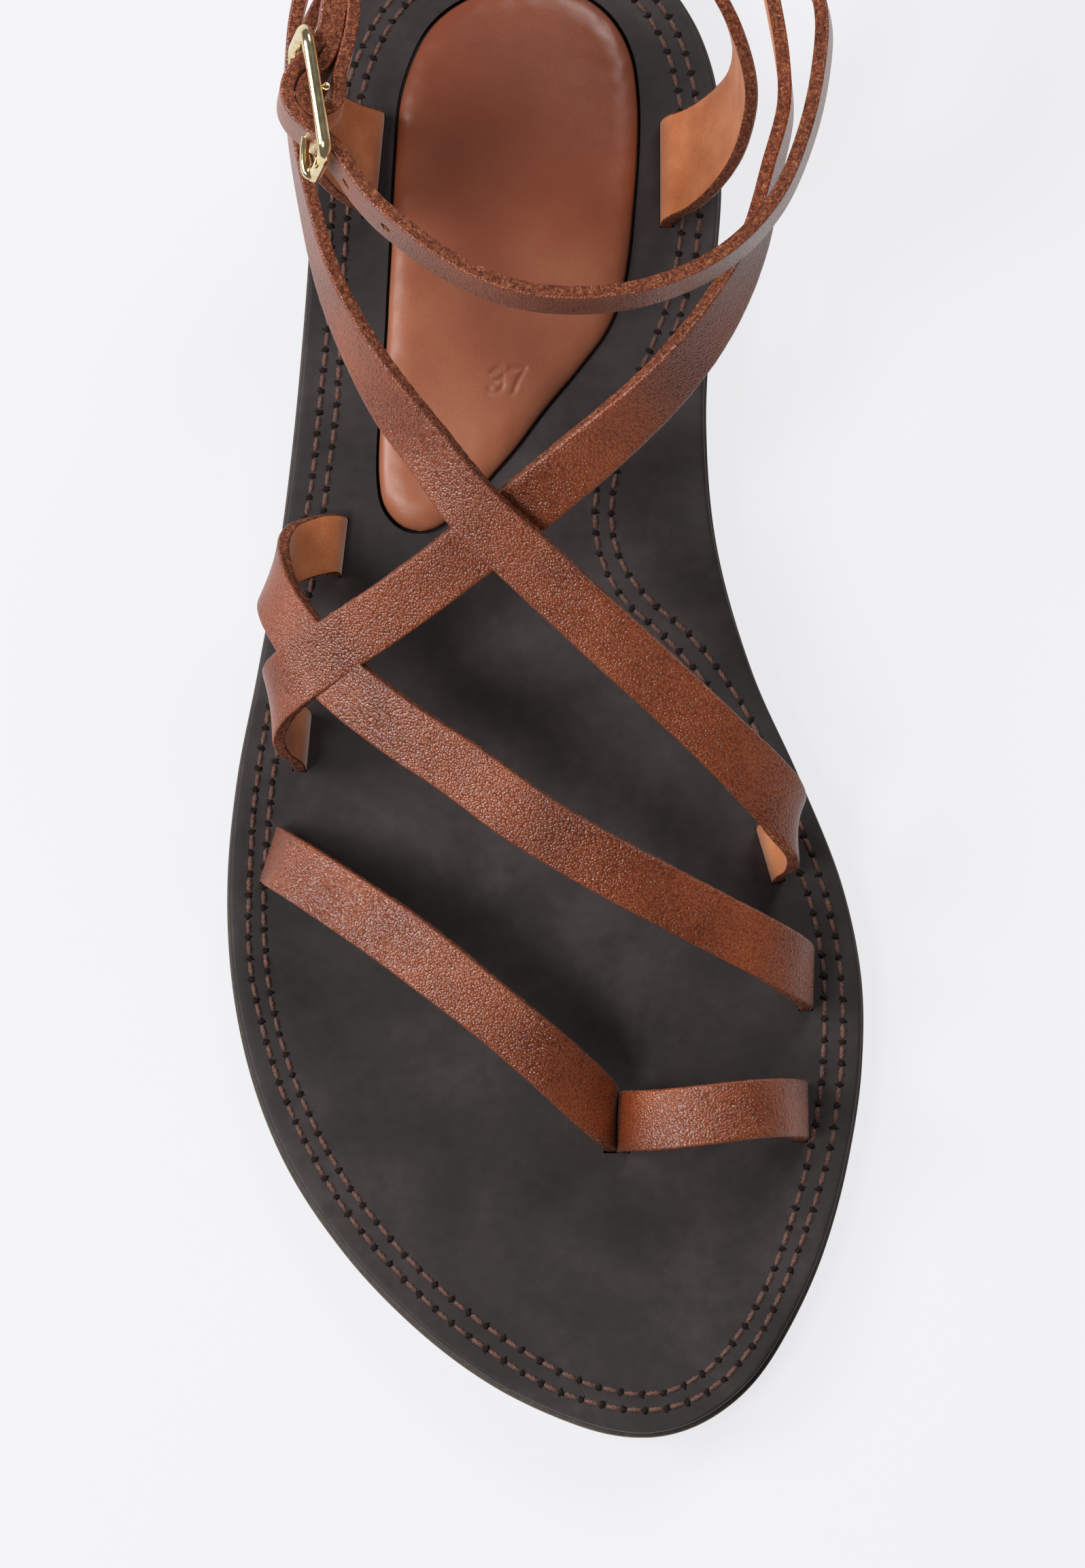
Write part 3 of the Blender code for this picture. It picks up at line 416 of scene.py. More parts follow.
def node(made, kind, inputs, out=0, stops=(), into=None, **settings):
    """Adds one shader node to a material and gives back an output of it.

    inputs are values to set or sockets to link, stops are the (place, hex colour) of a ramp,
    into is the socket of the shader that the output feeds, and settings are the node's own
    switches. A Math node multiplies its first two inputs and adds the third.
    """
    tree = made.node_tree
    added = tree.nodes.new("ShaderNode" + kind)
    if "Math" in kind:
        added.operation = "MULTIPLY_ADD"
    for key, value in settings.items():
        setattr(added, key, value)
    for k, (place, code) in enumerate(stops):
        element = added.color_ramp.elements[k] if k < 2 else added.color_ramp.elements.new(place)
        element.position, element.color = place, linear(code)
    for key, value in inputs.items():
        if isinstance(value, bpy.types.NodeSocket):
            tree.links.new(value, added.inputs[key])
        else:
            added.inputs[key].default_value = value
    if into:
        tree.links.new(added.outputs[out], tree.nodes["Principled BSDF"].inputs[into])
    return added.outputs[out]


def finish(name, noises, **constants):
    """Material with constants on its shader's sockets, and its noises in object places.

    A noise is (size in millimetres, detail, roughness, distortion).
    """
    made = bpy.data.materials.new(name)
    made.use_nodes = True
    sockets = made.node_tree.nodes["Principled BSDF"].inputs
    for key, value in constants.items():
        sockets[key.replace("_", " ")].default_value = value
    place = node(made, "TexCoord", {}, "Object")
    fields = [node(made, "TexNoise", {
        "Vector": place, "Scale": 1 / (size * MM), "Detail": detail, "Roughness": rough,
        "Distortion": bend}) for size, detail, rough, bend in noises]
    return made, fields


def pressed_cowhide():
    """Dyed cowhide with a pressed pebble grain: glossy pebbles that sparkle, and a pale
    glare where the face is seen along its length."""
    made, (fine, cloud) = finish(
        "pressed_cowhide", [(0.18, 2, 0.5, 0), (14, 3, 0.5, 0)],
        IOR=1.5, Specular_IOR_Level=0.6, Sheen_Weight=0.06, Sheen_Roughness=0.3)
    # pebbles of 0.36 mm, their outlines bent by coarser noise
    place = node(made, "TexCoord", {}, "Object")
    warp = node(made, "TexNoise", {"Vector": place, "Scale": 1 / (1.1 * MM), "Detail": 2.0}, "Color")
    bent = node(made, "VectorMath", {0: warp, 1: (0.4 * MM,) * 3, 2: place})
    pebble = node(made, "TexVoronoi", {"Vector": bent, "Scale": 1 / (0.36 * MM), "Smoothness": 0.15},
                  "Distance", feature="SMOOTH_F1")
    dome = node(made, "Math", {0: pebble, 1: -1.4, 2: 1.0})
    height = node(made, "Math", {0: fine, 1: 0.30, 2: dome})
    # dye lies thinner in patches and on the tops of the pebbles
    patch = node(made, "Math", {0: cloud, 1: 0.55, 2: 0.0})
    tone = node(made, "Math", {0: height, 1: 0.32, 2: patch})
    node(made, "ValToRGB", {"Fac": tone}, into="Base Color", stops=(
        (0.15, "#4E1F0C"), (0.38, "#723417"), (0.58, "#8A431E"), (0.85, "#A86036")))
    node(made, "Math", {0: cloud, 1: 0.14, 2: 0.19}, into="Roughness")
    node(made, "Bump", {"Height": height, "Distance": 0.10 * MM, "Strength": 1.0}, into="Normal")
    return made


def cut_hide_edge():
    """Raw cut edge of dyed cowhide: dry matted fibres, dark with a few orange ones."""
    made, (clump, fibre) = finish(
        "cut_hide_edge", [(0.6, 4, 0.7, 0.6), (0.22, 3, 0.65, 1.2)],
        Roughness=0.85, IOR=1.45, Specular_IOR_Level=0.3)
    half = node(made, "Math", {0: clump, 1: 0.55, 2: 0.0})
    tone = node(made, "Math", {0: fibre, 1: 0.45, 2: half})
    node(made, "ValToRGB", {"Fac": tone}, into="Base Color", stops=(
        (0.37, "#331813"), (0.46, "#63301F"), (0.54, "#8A4C33"), (0.63, "#C28455")))
    node(made, "Bump", {"Height": tone, "Distance": 0.6 * MM, "Strength": 0.95}, into="Normal")
    return made


def split_suede():
    """Flesh side of the hide: napped suede, matt with a soft sheen at its rims."""
    made, (cloud, nap) = finish(
        "split_suede", [(6, 3, 0.5, 0), (0.3, 4, 0.7, 0)],
        Roughness=0.95, IOR=1.4, Specular_IOR_Level=0.2, Sheen_Weight=0.35, Sheen_Roughness=0.4)
    half = node(made, "Math", {0: cloud, 1: 0.5, 2: 0.0})
    tone = node(made, "Math", {0: nap, 1: 0.5, 2: half})
    node(made, "ValToRGB", {"Fac": tone}, into="Base Color", stops=(
        (0.3, "#A35A33"), (0.5, "#BE7346"), (0.7, "#D58E60")))
    node(made, "Bump", {"Height": nap, "Distance": 0.12 * MM, "Strength": 0.7}, into="Normal")
    return made


def waxed_sole_leather():
    """Smooth bonded sole leather, waxed: dark grey-brown, softly blotched satin."""
    made, (smudge, speck) = finish(
        "waxed_sole_leather", [(32, 4, 0.6, 0.5), (2.2, 5, 0.65, 0)],
        IOR=1.5, Specular_IOR_Level=0.22)
    most = node(made, "Math", {0: smudge, 1: 0.75, 2: 0.0})
    tone = node(made, "Math", {0: speck, 1: 0.25, 2: most})
    node(made, "ValToRGB", {"Fac": tone}, into="Base Color", stops=(
        (0.32, "#1F1A1A"), (0.5, "#2E2828"), (0.68, "#3F3838")))
    node(made, "Math", {0: tone, 1: -0.30, 2: 0.68}, into="Roughness")
    node(made, "Bump", {"Height": speck, "Distance": 0.05 * MM, "Strength": 0.35}, into="Normal")
    return made


def nappa_pad_leather():
    """Soft nappa over foam: fine pores, a satin glow, and a painted sheen that makes the colour paler
    towards the toe.
    """
    made, (cloud, pore, crease) = finish(
        "nappa_pad_leather", [(18, 3, 0.5, 0), (0.35, 3, 0.6, 0), (3.2, 3, 0.6, 0.8)],
        Roughness=0.38, IOR=1.5, Specular_IOR_Level=0.45)
    # painted sheen: the base colour grows paler from the pad's back towards its toe, standing in for the
    # light on its front
    along = node(made, "SeparateXYZ", {"Vector": node(made, "TexCoord", {}, "Object")}, "Y")
    painted_sheen_to_toe = node(made, "MapRange", {"Value": along, "From Min": PAD_BACK, "From Max": PAD_BACK - PAD_LENGTH,
                                   "To Min": 0.0, "To Max": 0.34})
    patch = node(made, "Math", {0: cloud, 1: 0.5, 2: painted_sheen_to_toe})
    tone = node(made, "Math", {0: pore, 1: 0.2, 2: patch})
    node(made, "ValToRGB", {"Fac": tone}, into="Base Color", stops=(
        (0.25, "#6C321C"), (0.5, "#844830"), (0.75, "#9C6145")))
    soft = node(made, "Bump", {"Height": crease, "Distance": 0.10 * MM, "Strength": 0.35})
    node(made, "Bump", {"Height": pore, "Distance": 0.03 * MM, "Strength": 0.5, "Normal": soft},
         into="Normal")
    return made


def moulded_rubber():
    """Moulded rubber of the walking sole: near black-brown, matt, faintly grained."""
    made, (speck,) = finish("moulded_rubber", [(0.7, 4, 0.6, 0)], Roughness=0.7, IOR=1.5,
                            Specular_IOR_Level=0.4)
    node(made, "ValToRGB", {"Fac": speck}, into="Base Color", stops=(
        (0.3, "#3B332C"), (0.55, "#4A4038"), (0.8, "#5C5046")))
    node(made, "Bump", {"Height": speck, "Distance": 0.08 * MM, "Strength": 0.5}, into="Normal")
    return made


def twisted_thread():
    """Bonded two-ply thread: dull pinkish brown, darker between its fibres."""
    made, (fibre,) = finish("twisted_thread", [(0.2, 3, 0.7, 0)], Roughness=0.7, IOR=1.45,
                            Specular_IOR_Level=0.3, Sheen_Weight=0.15)
    node(made, "ValToRGB", {"Fac": fibre}, into="Base Color", stops=(
        (0.3, "#33201B"), (0.5, "#5C3D33"), (0.7, "#8A6256")))
    node(made, "Bump", {"Height": fibre, "Distance": 0.08 * MM, "Strength": 0.6}, into="Normal")
    return made


def needle_hole_shadow():
    """Painted shade of the needle holes: nearly black, mottled by fibre noise."""
    made, (fibre,) = finish("needle_hole_shadow", [(0.25, 3, 0.7, 0)], Roughness=0.95,
                            Specular_IOR_Level=0.1)
    node(made, "ValToRGB", {"Fac": fibre}, into="Base Color", stops=((0.3, "#140E0C"), (0.7, "#2C211D")))
    return made


def pale_gold_plate():
    """Pale gold plating on cast zinc, polished: mirror-like with slight unevenness."""
    made, (cloud,) = finish("pale_gold_plate", [(1.4, 2, 0.5, 0)], Metallic=1.0)
    node(made, "ValToRGB", {"Fac": cloud}, into="Base Color", stops=((0.3, "#DDC58F"), (0.7, "#F3E3B8")))
    node(made, "Math", {0: cloud, 1: 0.10, 2: 0.08}, into="Roughness")
    node(made, "Bump", {"Height": cloud, "Distance": 0.05 * MM, "Strength": 0.25}, into="Normal")
    return made


def studio_paper():
    """Pale matt paper lit from below, like a light table."""
    made, (cloud,) = finish(
        "studio_paper", [(400, 2, 0.5, 0)], Roughness=1.0, Specular_IOR_Level=0.0,
        Emission_Color=linear("#F1F1F3"), Emission_Strength=0.87)
    node(made, "ValToRGB", {"Fac": cloud}, into="Base Color", stops=((0.3, "#5A5A5B"), (0.7, "#5C5C5D")))
    return made


def under_height(x, y):
    """Height of the outsole's underside: heel seat, waist, flat tread, toe spring."""
    heel = (HEEL_LIFT_HEIGHT + GAP) * ease((y - SHANK_FRONT_Y) / (SHANK_BACK_Y - SHANK_FRONT_Y))
    toe_y = HEEL_BACK - SOLE_LENGTH
    spring = TOE_SPRING * np.clip((TREAD_FRONT_Y - y) / (TREAD_FRONT_Y - toe_y), 0, 1) ** 2
    waist = ease((y - SHANK_FRONT_Y) / (25 * MM)) * ease((-8 * MM - y) / (30 * MM))
    arch = ARCH_RISE * waist * np.clip(x / (0.30 * BALL_WIDTH), 0, 1) ** 2
    return heel + spring + arch


def insole_under(x, y):
    """Underside of the top sole: the outsole's top plus the glue gap."""
    return under_height(x, y) + OUTSOLE_THICKNESS + GAP


def insole_top(x, y):
    """Upper face of the top sole."""
    return insole_under(x, y) + INSOLE_THICKNESS


def outline(table, length, width, back, shares):
    """Lateral edge, medial edge and Y of an outline, by a curve over the cosine of its share."""
    rows = np.array(table)
    edges = through(np.arccos(1 - 2 * rows[:, 0]), rows[:, 1:] * width,
                    np.arccos(1 - 2 * np.asarray(shares)))
    return edges[:, 0], edges[:, 1], back - np.asarray(shares) * length


def sole_rows(inset, count, y_front=None):
    """Edges of the sole drawn in by an inset, as rows from heel to toe."""
    angles = np.linspace(END_ANGLE, np.pi - END_ANGLE, count)
    shares = (1 - np.cos(angles)) / 2
    left, right, y = outline(SOLE_OUTLINE, SOLE_LENGTH, BALL_WIDTH, HEEL_BACK, shares)
    middle, half = (left + right) / 2, (right - left) / 2
    drawn = np.maximum(half - inset, half * 0.8)
    y = y + inset * np.cos(angles + np.pi)
    keep = np.ones(count, bool) if y_front is None else y > y_front
    left, right, y = (middle - drawn)[keep], (middle + drawn)[keep], y[keep]
    if y_front is not None:
        left, right, y = np.append(left, left[-1]), np.append(right, right[-1]), np.append(y, y_front)
    return left, right, y


def slab(edges, low, high, tops, sides, bevel):
    """Rings of a slab, one ring for each row: top from right to left, left side, bottom, right side.

    A top point is a share of the row's half width; near the edges the top is rounded off by a
    quarter ellipse of the bevel's size.
    """
    left, right, y = (e[:, None] for e in edges)
    middle, half = (left + right) / 2, (right - left) / 2
    inner = np.maximum(half - bevel, half * 0.6)
    shares = np.linspace(1, -1, tops)[None, :]
    x_top = middle + shares * inner
    z_top = high(x_top, y)
    turn = np.radians([22.5, 45, 67.5, 90])[None, :]
    x_turn = middle - inner - (half - inner) * np.sin(turn)
    z_turn = high(x_turn, y) - bevel * (1 - np.cos(turn))
    down = np.linspace(0, 1, sides + 1)[None, 1:]
    z_wall_top = z_turn[:, -1:]
    x_side = left + 0 * down
    z_side = z_wall_top + (low(x_side, y) - z_wall_top) * down
    x_low = middle + np.linspace(-1, 1, 9)[None, 1:] * half
    z_low = low(x_low, y)
    x_back = right + 0 * down[:, :-1]
    top_right = high(right, y) - bevel
    z_back = low(x_back, y) + (top_right - low(right, y)) * down[:, :-1]
    x_last = middle + inner + (half - inner) * np.sin(turn[:, ::-1])
    z_last = high(x_last, y) - bevel * (1 - np.cos(turn[:, ::-1]))
    x = np.concatenate((x_top, x_turn, x_side, x_low, x_back, x_last), axis=1)
    z = np.concatenate((z_top, z_turn, z_side, z_low, z_back, z_last), axis=1)
    return np.stack((x, y + 0 * x, z), axis=-1)


def slab_piece(name, rings, finishes, stands_for):
    """Closes rings into a slab with a many-sided face at each end."""
    rows, columns = rings.shape[:2]
    return piece(name, rings, grid_faces(rows, columns), finishes, stands_for=stands_for,
                 ends=end_faces(rows, columns))


def prism(plan, low, high):
    """Points and faces of an upright body over a plan of corners."""
    plan, count = np.array(plan), len(plan)
    points = np.vstack([np.column_stack((plan, np.full(count, z))) for z in (low, high)])
    caps = [cap.tolist() for cap in end_faces(2, count)]
    return points, caps + grid_faces(2, count).tolist()


def slot_plan(row, end_row=None):
    """Body that cuts the slot of one foot, or of two feet that share a slot."""
    rows = [row] if end_row is None else [row, end_row]
    places = np.array([(r[0] * BALL_WIDTH, HEEL_BACK - r[1] * SOLE_LENGTH) for r in rows])
    turn = np.radians(row[3])
    along, side = np.array([np.cos(turn), np.sin(turn)]), np.array([-np.sin(turn), np.cos(turn)])
    middle = places.mean(axis=0)
    spread = np.abs((places - middle) @ side).max()
    slip = np.abs((places - middle) @ along).max()
    long = row[5] * STRAP_WIDTH / 2 + slip + SLOT_SLIP
    wide = STRAP_THICKNESS / 2 + spread + SLOT_SLIP
    plan = [middle + along * a * long + side * b * wide
            for a, b in ((1, 1), (-1, 1), (-1, -1), (1, -1))]
    return prism(plan, insole_under(*middle) - CUT_PAST, insole_top(*middle) + CUT_PAST)


def pad_edges(grow, count):
    """Edges of the pad, or of its recess when grown by a gap."""
    shares = (1 - np.cos(np.linspace(PAD_END_ANGLE, np.pi - PAD_END_ANGLE, count))) / 2
    left, right, y = outline(PAD_OUTLINE, PAD_LENGTH, PAD_WIDTH, PAD_BACK, shares)
    middle_y = PAD_BACK - PAD_LENGTH / 2
    return left - grow, right + grow, middle_y + (y - middle_y) * (1 + 2 * grow / PAD_LENGTH)


def away_from(points, runs):
    """Distance of each point from the nearest of many straight runs (start, end)."""
    nearest = np.full(len(points), 1.0)
    for start, end in runs:
        run = end - start
        share = np.clip((points - start) @ run / max(run @ run, 1e-18), 0, 1)
        nearest = np.minimum(nearest, np.linalg.norm(start + share[:, None] * run - points, axis=1))
    return nearest


def recess_body():
    """Body that cuts the pad's recess: its floor follows the sole."""
    left, right, y = pad_edges(RECESS_GAP, 120)
    rim = np.vstack((np.column_stack((left, y)), np.column_stack((right, y))[::-1]))
    count = len(rim)
    low = insole_top(rim[:, 0], rim[:, 1]) - RECESS_DEPTH
    points = np.vstack((np.column_stack((rim, low)), np.column_stack((rim, low + 3 * CUT_PAST))))
    k = np.arange(count // 2 - 1)
    floor = np.column_stack((k, k + 1, count - 2 - k, count - 1 - k))
    return points, np.vstack((grid_faces(2, count), floor, floor + count)).tolist()


def number_runs():
    """Straight runs of the size number's strokes on the pad."""
    runs = []
    for stroke, shift in ((THREE, 0.0), (SEVEN, DIGIT_STEP)):
        line = np.array(stroke)
        line[:, 0] += shift + line[:, 1] * DIGIT_SLANT
        line = np.array(NUMBER_CORNER) * MM + line * NUMBER_HEIGHT
        runs += list(zip(line[:-1], line[1:]))
    return runs


def heel_cushion(leather):
    """Pad: height over the sole is a quarter ellipse of the distance to its outline.

    The size number is pressed in by a bell of the distance to its strokes, and the rim is
    drawn in by small puckers.
    """
    rows, tops = 330, 150
    edges = pad_edges(0.0, rows)
    left, right, y = edges
    rim = np.vstack((np.column_stack((left, y)), np.column_stack((right, y))[::-1]))[::3]
    runs = list(zip(rim, np.roll(rim, -1, axis=0)))
    middle, half = ((left + right) / 2)[:, None], ((right - left) / 2)[:, None]
    shares = np.sin(np.linspace(np.pi / 2, -np.pi / 2, tops))[None, :]
    shares = 0.55 * shares + 0.45 * np.linspace(1, -1, tops)[None, :]
    x = middle + shares * half
    flat = np.column_stack((x.ravel(), np.repeat(y, tops)))
    away = away_from(flat, runs).reshape(x.shape)
    ys = flat[:, 1].reshape(x.shape)
    pucker = PAD_PUCKER * ripples(x, ys, 5, 9 * MM, 3 * MM) * np.exp(-away / (5 * MM))
    reach = np.clip(away / PAD_ROUND, 0, 1)
    crown = PAD_CROWN * np.sqrt(1 - (1 - reach) ** 2) * 0.9 + 0.1 * MM
    swell = PAD_SWELL * ripples(x, ys, 6, 60 * MM, 25 * MM) * ease(away / (8 * MM))
    pressed = away_from(flat, number_runs()).reshape(x.shape)
    dent = NUMBER_DEPTH * np.exp(-(pressed / NUMBER_STROKE) ** 2)
    z = insole_top(x, ys) + crown + pucker * np.clip(reach * 3, 0, 1) + swell - dent
    x_low = middle + np.linspace(-1, 1, 9)[None, :] * half
    z_low = insole_top(x_low, y[:, None]) - RECESS_DEPTH + GAP
    ring_x = np.concatenate((x, x_low), axis=1)
    ring_z = np.concatenate((z, z_low), axis=1)
    rings = np.stack((ring_x, y[:, None] + 0 * ring_x, ring_z), axis=-1)
    made = slab_piece("heel_cushion", rings, [leather], ("heel_pad",))
    return made


def top_sole(leather):
    """Top sole: a slab between two height functions with rounded rims, then slots and recess."""
    rings = slab(sole_rows(INSOLE_INSET, 460), insole_under, insole_top, tops=81, sides=4,
                 bevel=EDGE_ROUND)
    made = slab_piece("top_sole", rings, [leather], ("insole",))
    heel = heel_strap_rows()
    rows = (TOE_BAND[0], TOE_LOOP[-1], MIDDLE_STRAP[0], MIDDLE_STRAP[-1],
            LATERAL_STRAP[0], MEDIAL_STRAP[0], heel[0], heel[-1])
    bodies = [slot_plan(row) for row in rows] + [slot_plan(TOE_BAND[-1], TOE_LOOP[0]), recess_body()]
    cut(made, scratch("slots", bodies))
    return made


def walking_sole(rubber):
    """Outsole: a slab of even thickness that follows heel seat, waist and toe spring."""
    high = lambda x, y: under_height(x, y) + OUTSOLE_THICKNESS
    rings = slab(sole_rows(0.0, 320), under_height, high, tops=21, sides=5, bevel=0.25 * MM)
    return slab_piece("walking_sole", rings, [rubber], ("outsole",))


def heel_block(rubber):
    """Heel lift: flat underneath, its top against the outsole."""
    rings = slab(sole_rows(HEEL_INSET, 320, BREAST_Y), lambda x, y: 0 * x,
                 lambda x, y: under_height(x, y) - GAP, tops=21, sides=5, bevel=0.15 * MM)
    return slab_piece("heel_block", rings, [rubber], ("heel_lift",))


def stitch_places(loop):
    """Needle holes at even steps round a closed loop on the sole."""
    line = np.vstack((loop, loop[:3]))
    flat = np.column_stack((line[:, 0] * BALL_WIDTH, HEEL_BACK - line[:, 1] * SOLE_LENGTH))
    marks = distances(flat)
    start, stop = marks[1], marks[len(loop) + 1]
    fine = through(marks, flat, np.linspace(start, stop, STITCH_SAMPLES))
    run = distances(fine)
    count = int(round(run[-1] / STITCH_PITCH))
    at = np.linspace(0, run[-1], count, endpoint=False)
    return np.column_stack((np.interp(at, run, fine[:, 0]), np.interp(at, run, fine[:, 1])))


def threads(name, holes, finish_used, seed):
    """Stitches: tubes from hole to hole whose middle rises in an arch and whose ends dive.

    The section is a circle with two lobes that turn along the stitch, as two-ply thread does.
    """
    rng = np.random.default_rng(seed)
    ends = np.roll(holes, -1, axis=0)
    count, rings, sides = len(holes), 11, 12
    t = np.linspace(0.0, 1.0, rings)
    sway = rng.normal(0, 0.05 * MM, (count, 2, 2))
    start, stop = holes + sway[:, 0], ends + sway[:, 1]
    place = start[:, None] + (stop - start)[:, None] * (0.16 + 0.68 * t)[None, :, None]
    arch = np.sin(np.pi * t) ** 0.5
    z = insole_top(place[..., 0], place[..., 1]) + (arch * THREAD_RISE - THREAD_DIP)[None, :]
    radius = THREAD_RADIUS * (0.55 + 0.45 * arch)[None, :] * rng.uniform(0.92, 1.08, (count, 1))
    way = unit(stop - start)
    side = np.stack((-way[:, 1], way[:, 0]), axis=-1)
    angle = np.arange(sides) / sides * 2 * np.pi
    twist = t * 2.6 * np.pi
    lobe = 1 + 0.16 * np.cos(2 * (angle[None, None] - twist[None, :, None]
                                  - rng.random((count, 1, 1)) * np.pi))
    r = radius[..., None] * lobe
    x = place[..., 0, None] + side[:, None, 0, None] * r * np.cos(angle)
    y = place[..., 1, None] + side[:, None, 1, None] * r * np.cos(angle)
    points = np.stack((x, y, z[..., None] + r * np.sin(angle)), axis=-1)
    first = (np.arange(count) * rings * sides)[:, None, None]
    faces = (grid_faces(rings, sides)[None] + first).reshape(-1, 4)
    head, tail = end_faces(rings, sides)
    caps = (np.stack((head[::-1], tail))[None] + first).reshape(-1, sides)
    return piece(name, points, faces, [finish_used], ends=caps)


def needle_holes(name, holes, finish_used, seed):
    """Needle holes: flat spiky lenses of painted shade, their points cast outwards at random lengths."""
    rng = np.random.default_rng(seed)
    spikes = 18
    way = unit(np.roll(holes, -1, axis=0) - np.roll(holes, 1, axis=0))
    side = np.stack((-way[:, 1], way[:, 0]), axis=-1)
    angle = np.arange(spikes) / spikes * 2 * np.pi
    length = np.where(np.arange(spikes) % 2 == 0, 0.40, 0.56)[None] * MM
    length = length * rng.uniform(0.7, 1.45, (len(holes), spikes))
    local = np.stack((np.cos(angle) * length * 0.95, np.sin(angle) * length * 1.25), axis=-1)
    flat = holes[:, None] + local[..., :1] * way[:, None] + local[..., 1:] * side[:, None]
    z = insole_top(flat[..., 0], flat[..., 1]) + 0.03 * MM
    rim = np.concatenate((flat, z[..., None]), axis=-1)
    top = np.column_stack((holes, insole_top(holes[:, 0], holes[:, 1]) + 0.07 * MM))[:, None]
    points = np.concatenate((rim, top, top - (0, 0, 0.4 * MM)), axis=1)
    i = np.arange(spikes)
    fan = np.vstack((np.column_stack((i, (i + 1) % spikes, 0 * i + spikes)),
                     np.column_stack(((i + 1) % spikes, i, 0 * i + spikes + 1))))
    faces = (fan[None] + (np.arange(len(holes)) * (spikes + 2))[:, None, None]).reshape(-1, 3)
    return piece(name, points, faces, [finish_used])


def mirrored_heel(table):
    """Lateral half of the heel strap: the medial table mirrored about the heel."""
    made = []
    for across, along, height, turn, rise, width in table:
        low = max(0.0, 1 - height / HEEL_STRAP[-1][2]) if height else 1.0
        shift_across, shift_along = (low * shift for shift in LATERAL_HEEL_SHIFT)
        made.append((2 * HEEL_MIDDLE - across + shift_across, along + shift_along,
                     height, -180 - turn - 5 * low, rise, width))
    return made


def heel_strap_rows():
    """Whole heel strap: medial half, then the lateral half run backwards."""
    return np.vstack((HEEL_STRAP, mirrored_heel(HEEL_STRAP[:-1])[::-1]))


def buckle_point(forward, out, up=0.0):
    """Point given by its distances from the middle of the buckle frame."""
    return BUCKLE_CENTRE + forward * BUCKLE_FORWARD + out * BUCKLE_OUT + up * BUCKLE_UP


def level_point(forward, out):
    """Point at the straps' own height, given by its distances from the middle of the frame."""
    return BUCKLE_CENTRE + forward * BUCKLE_FORWARD + out * AWAY_FROM_LEG


def buckle_rows(pairs, turn):
    """Strap rows standing on edge at places measured from the middle of the buckle."""
    return np.array([(*level_point(f * MM, o * MM), turn, BUCKLE_RISE, 1.0) for f, o in pairs])


def bar_fold():
    """Places of the strap end that goes forward, round the bar and back over itself."""
    angles = np.radians(np.arange(-90, 91, 30))
    radius, forward, out = FOLD_RADIUS / MM, BAR_FORWARD / MM, BAR_OUT / MM
    turn = [(forward + radius * np.cos(a), out + radius * np.sin(a)) for a in angles]
    return BAR_FOLD_IN + turn + BAR_FOLD_BACK


def strap_line(table, foot_start, foot_end, end_rows=()):
    """Middle line, edge direction and width of a strap at even steps."""
    rows = np.array(table, float)
    place = np.column_stack((
        rows[:, 0] * BALL_WIDTH, HEEL_BACK - rows[:, 1] * SOLE_LENGTH, rows[:, 2] * ANKLE_HEIGHT))
    for foot, k in ((foot_start, 0), (foot_end, -1)):
        if foot:
            place[k, 2] = insole_top(place[k, 0], place[k, 1]) + FOOT_ABOVE
    values = np.column_stack((place, rows[:, 3:]))
    if len(end_rows):
        values = np.vstack((values, end_rows))
    marks = distances(values[:, :3])
    fine = through(marks, values, np.linspace(0, marks[-1], int(marks[-1] / STRAP_STEP)),
                   foot_start, foot_end)
    buried = np.arange(FOOT_ROWS, 0, -1)[:, None] * FOOT_STEP * np.eye(6)[2]
    if foot_start:
        fine = np.vstack((fine[0] - buried, fine))
    if foot_end:
        fine = np.vstack((fine, fine[-1] - buried[::-1]))
    return fine


def strap_section():
    """Points round the strap's section and the finish of the strip after each.

    A point is its share of half the width, its inset from the edge, its share of half the
    thickness and how far its fibres may stand out; the finishes are 0 for the grain face, 1
    for the cut edge and 2 for the flesh face.
    """
    face = [(s, RIM_ROUND, 1.0, 0.0) for s in np.linspace(-1, 1, 13)]
    rim = [(1, RIM_ROUND * (1 - np.sin(a)), 1 - 0.34 * (1 - np.cos(a)), 0.25)
           for a in np.radians([35, 65, 90])]
    side = [(1, 0.0, d, f) for d, f in ((0.42, 0.7), (0.14, 0.9), (-0.16, 1.0), (-0.46, 1.0),
                                        (-0.74, 1.0))]
    turn = [(1, 0.05 * MM, -0.95, 1.0)]
    flesh = [(s, 0.25 * MM, -1.0, 0.0) for s in np.linspace(1, -1, 9)]
    far = [(-1, i, d, f) for _, i, d, f in (rim + side + turn)[::-1]]
    points = np.array(face + rim + side + turn + flesh + far)
    counts = (len(face), len(rim), len(side) + len(turn), len(flesh))
    regions = np.concatenate((
        np.zeros(counts[0] + counts[1] - 1), np.ones(counts[2] + 1),
        np.full(counts[3] - 1, 2), np.ones(counts[2] + 1), np.zeros(counts[1])))
    return points, regions.astype(int)


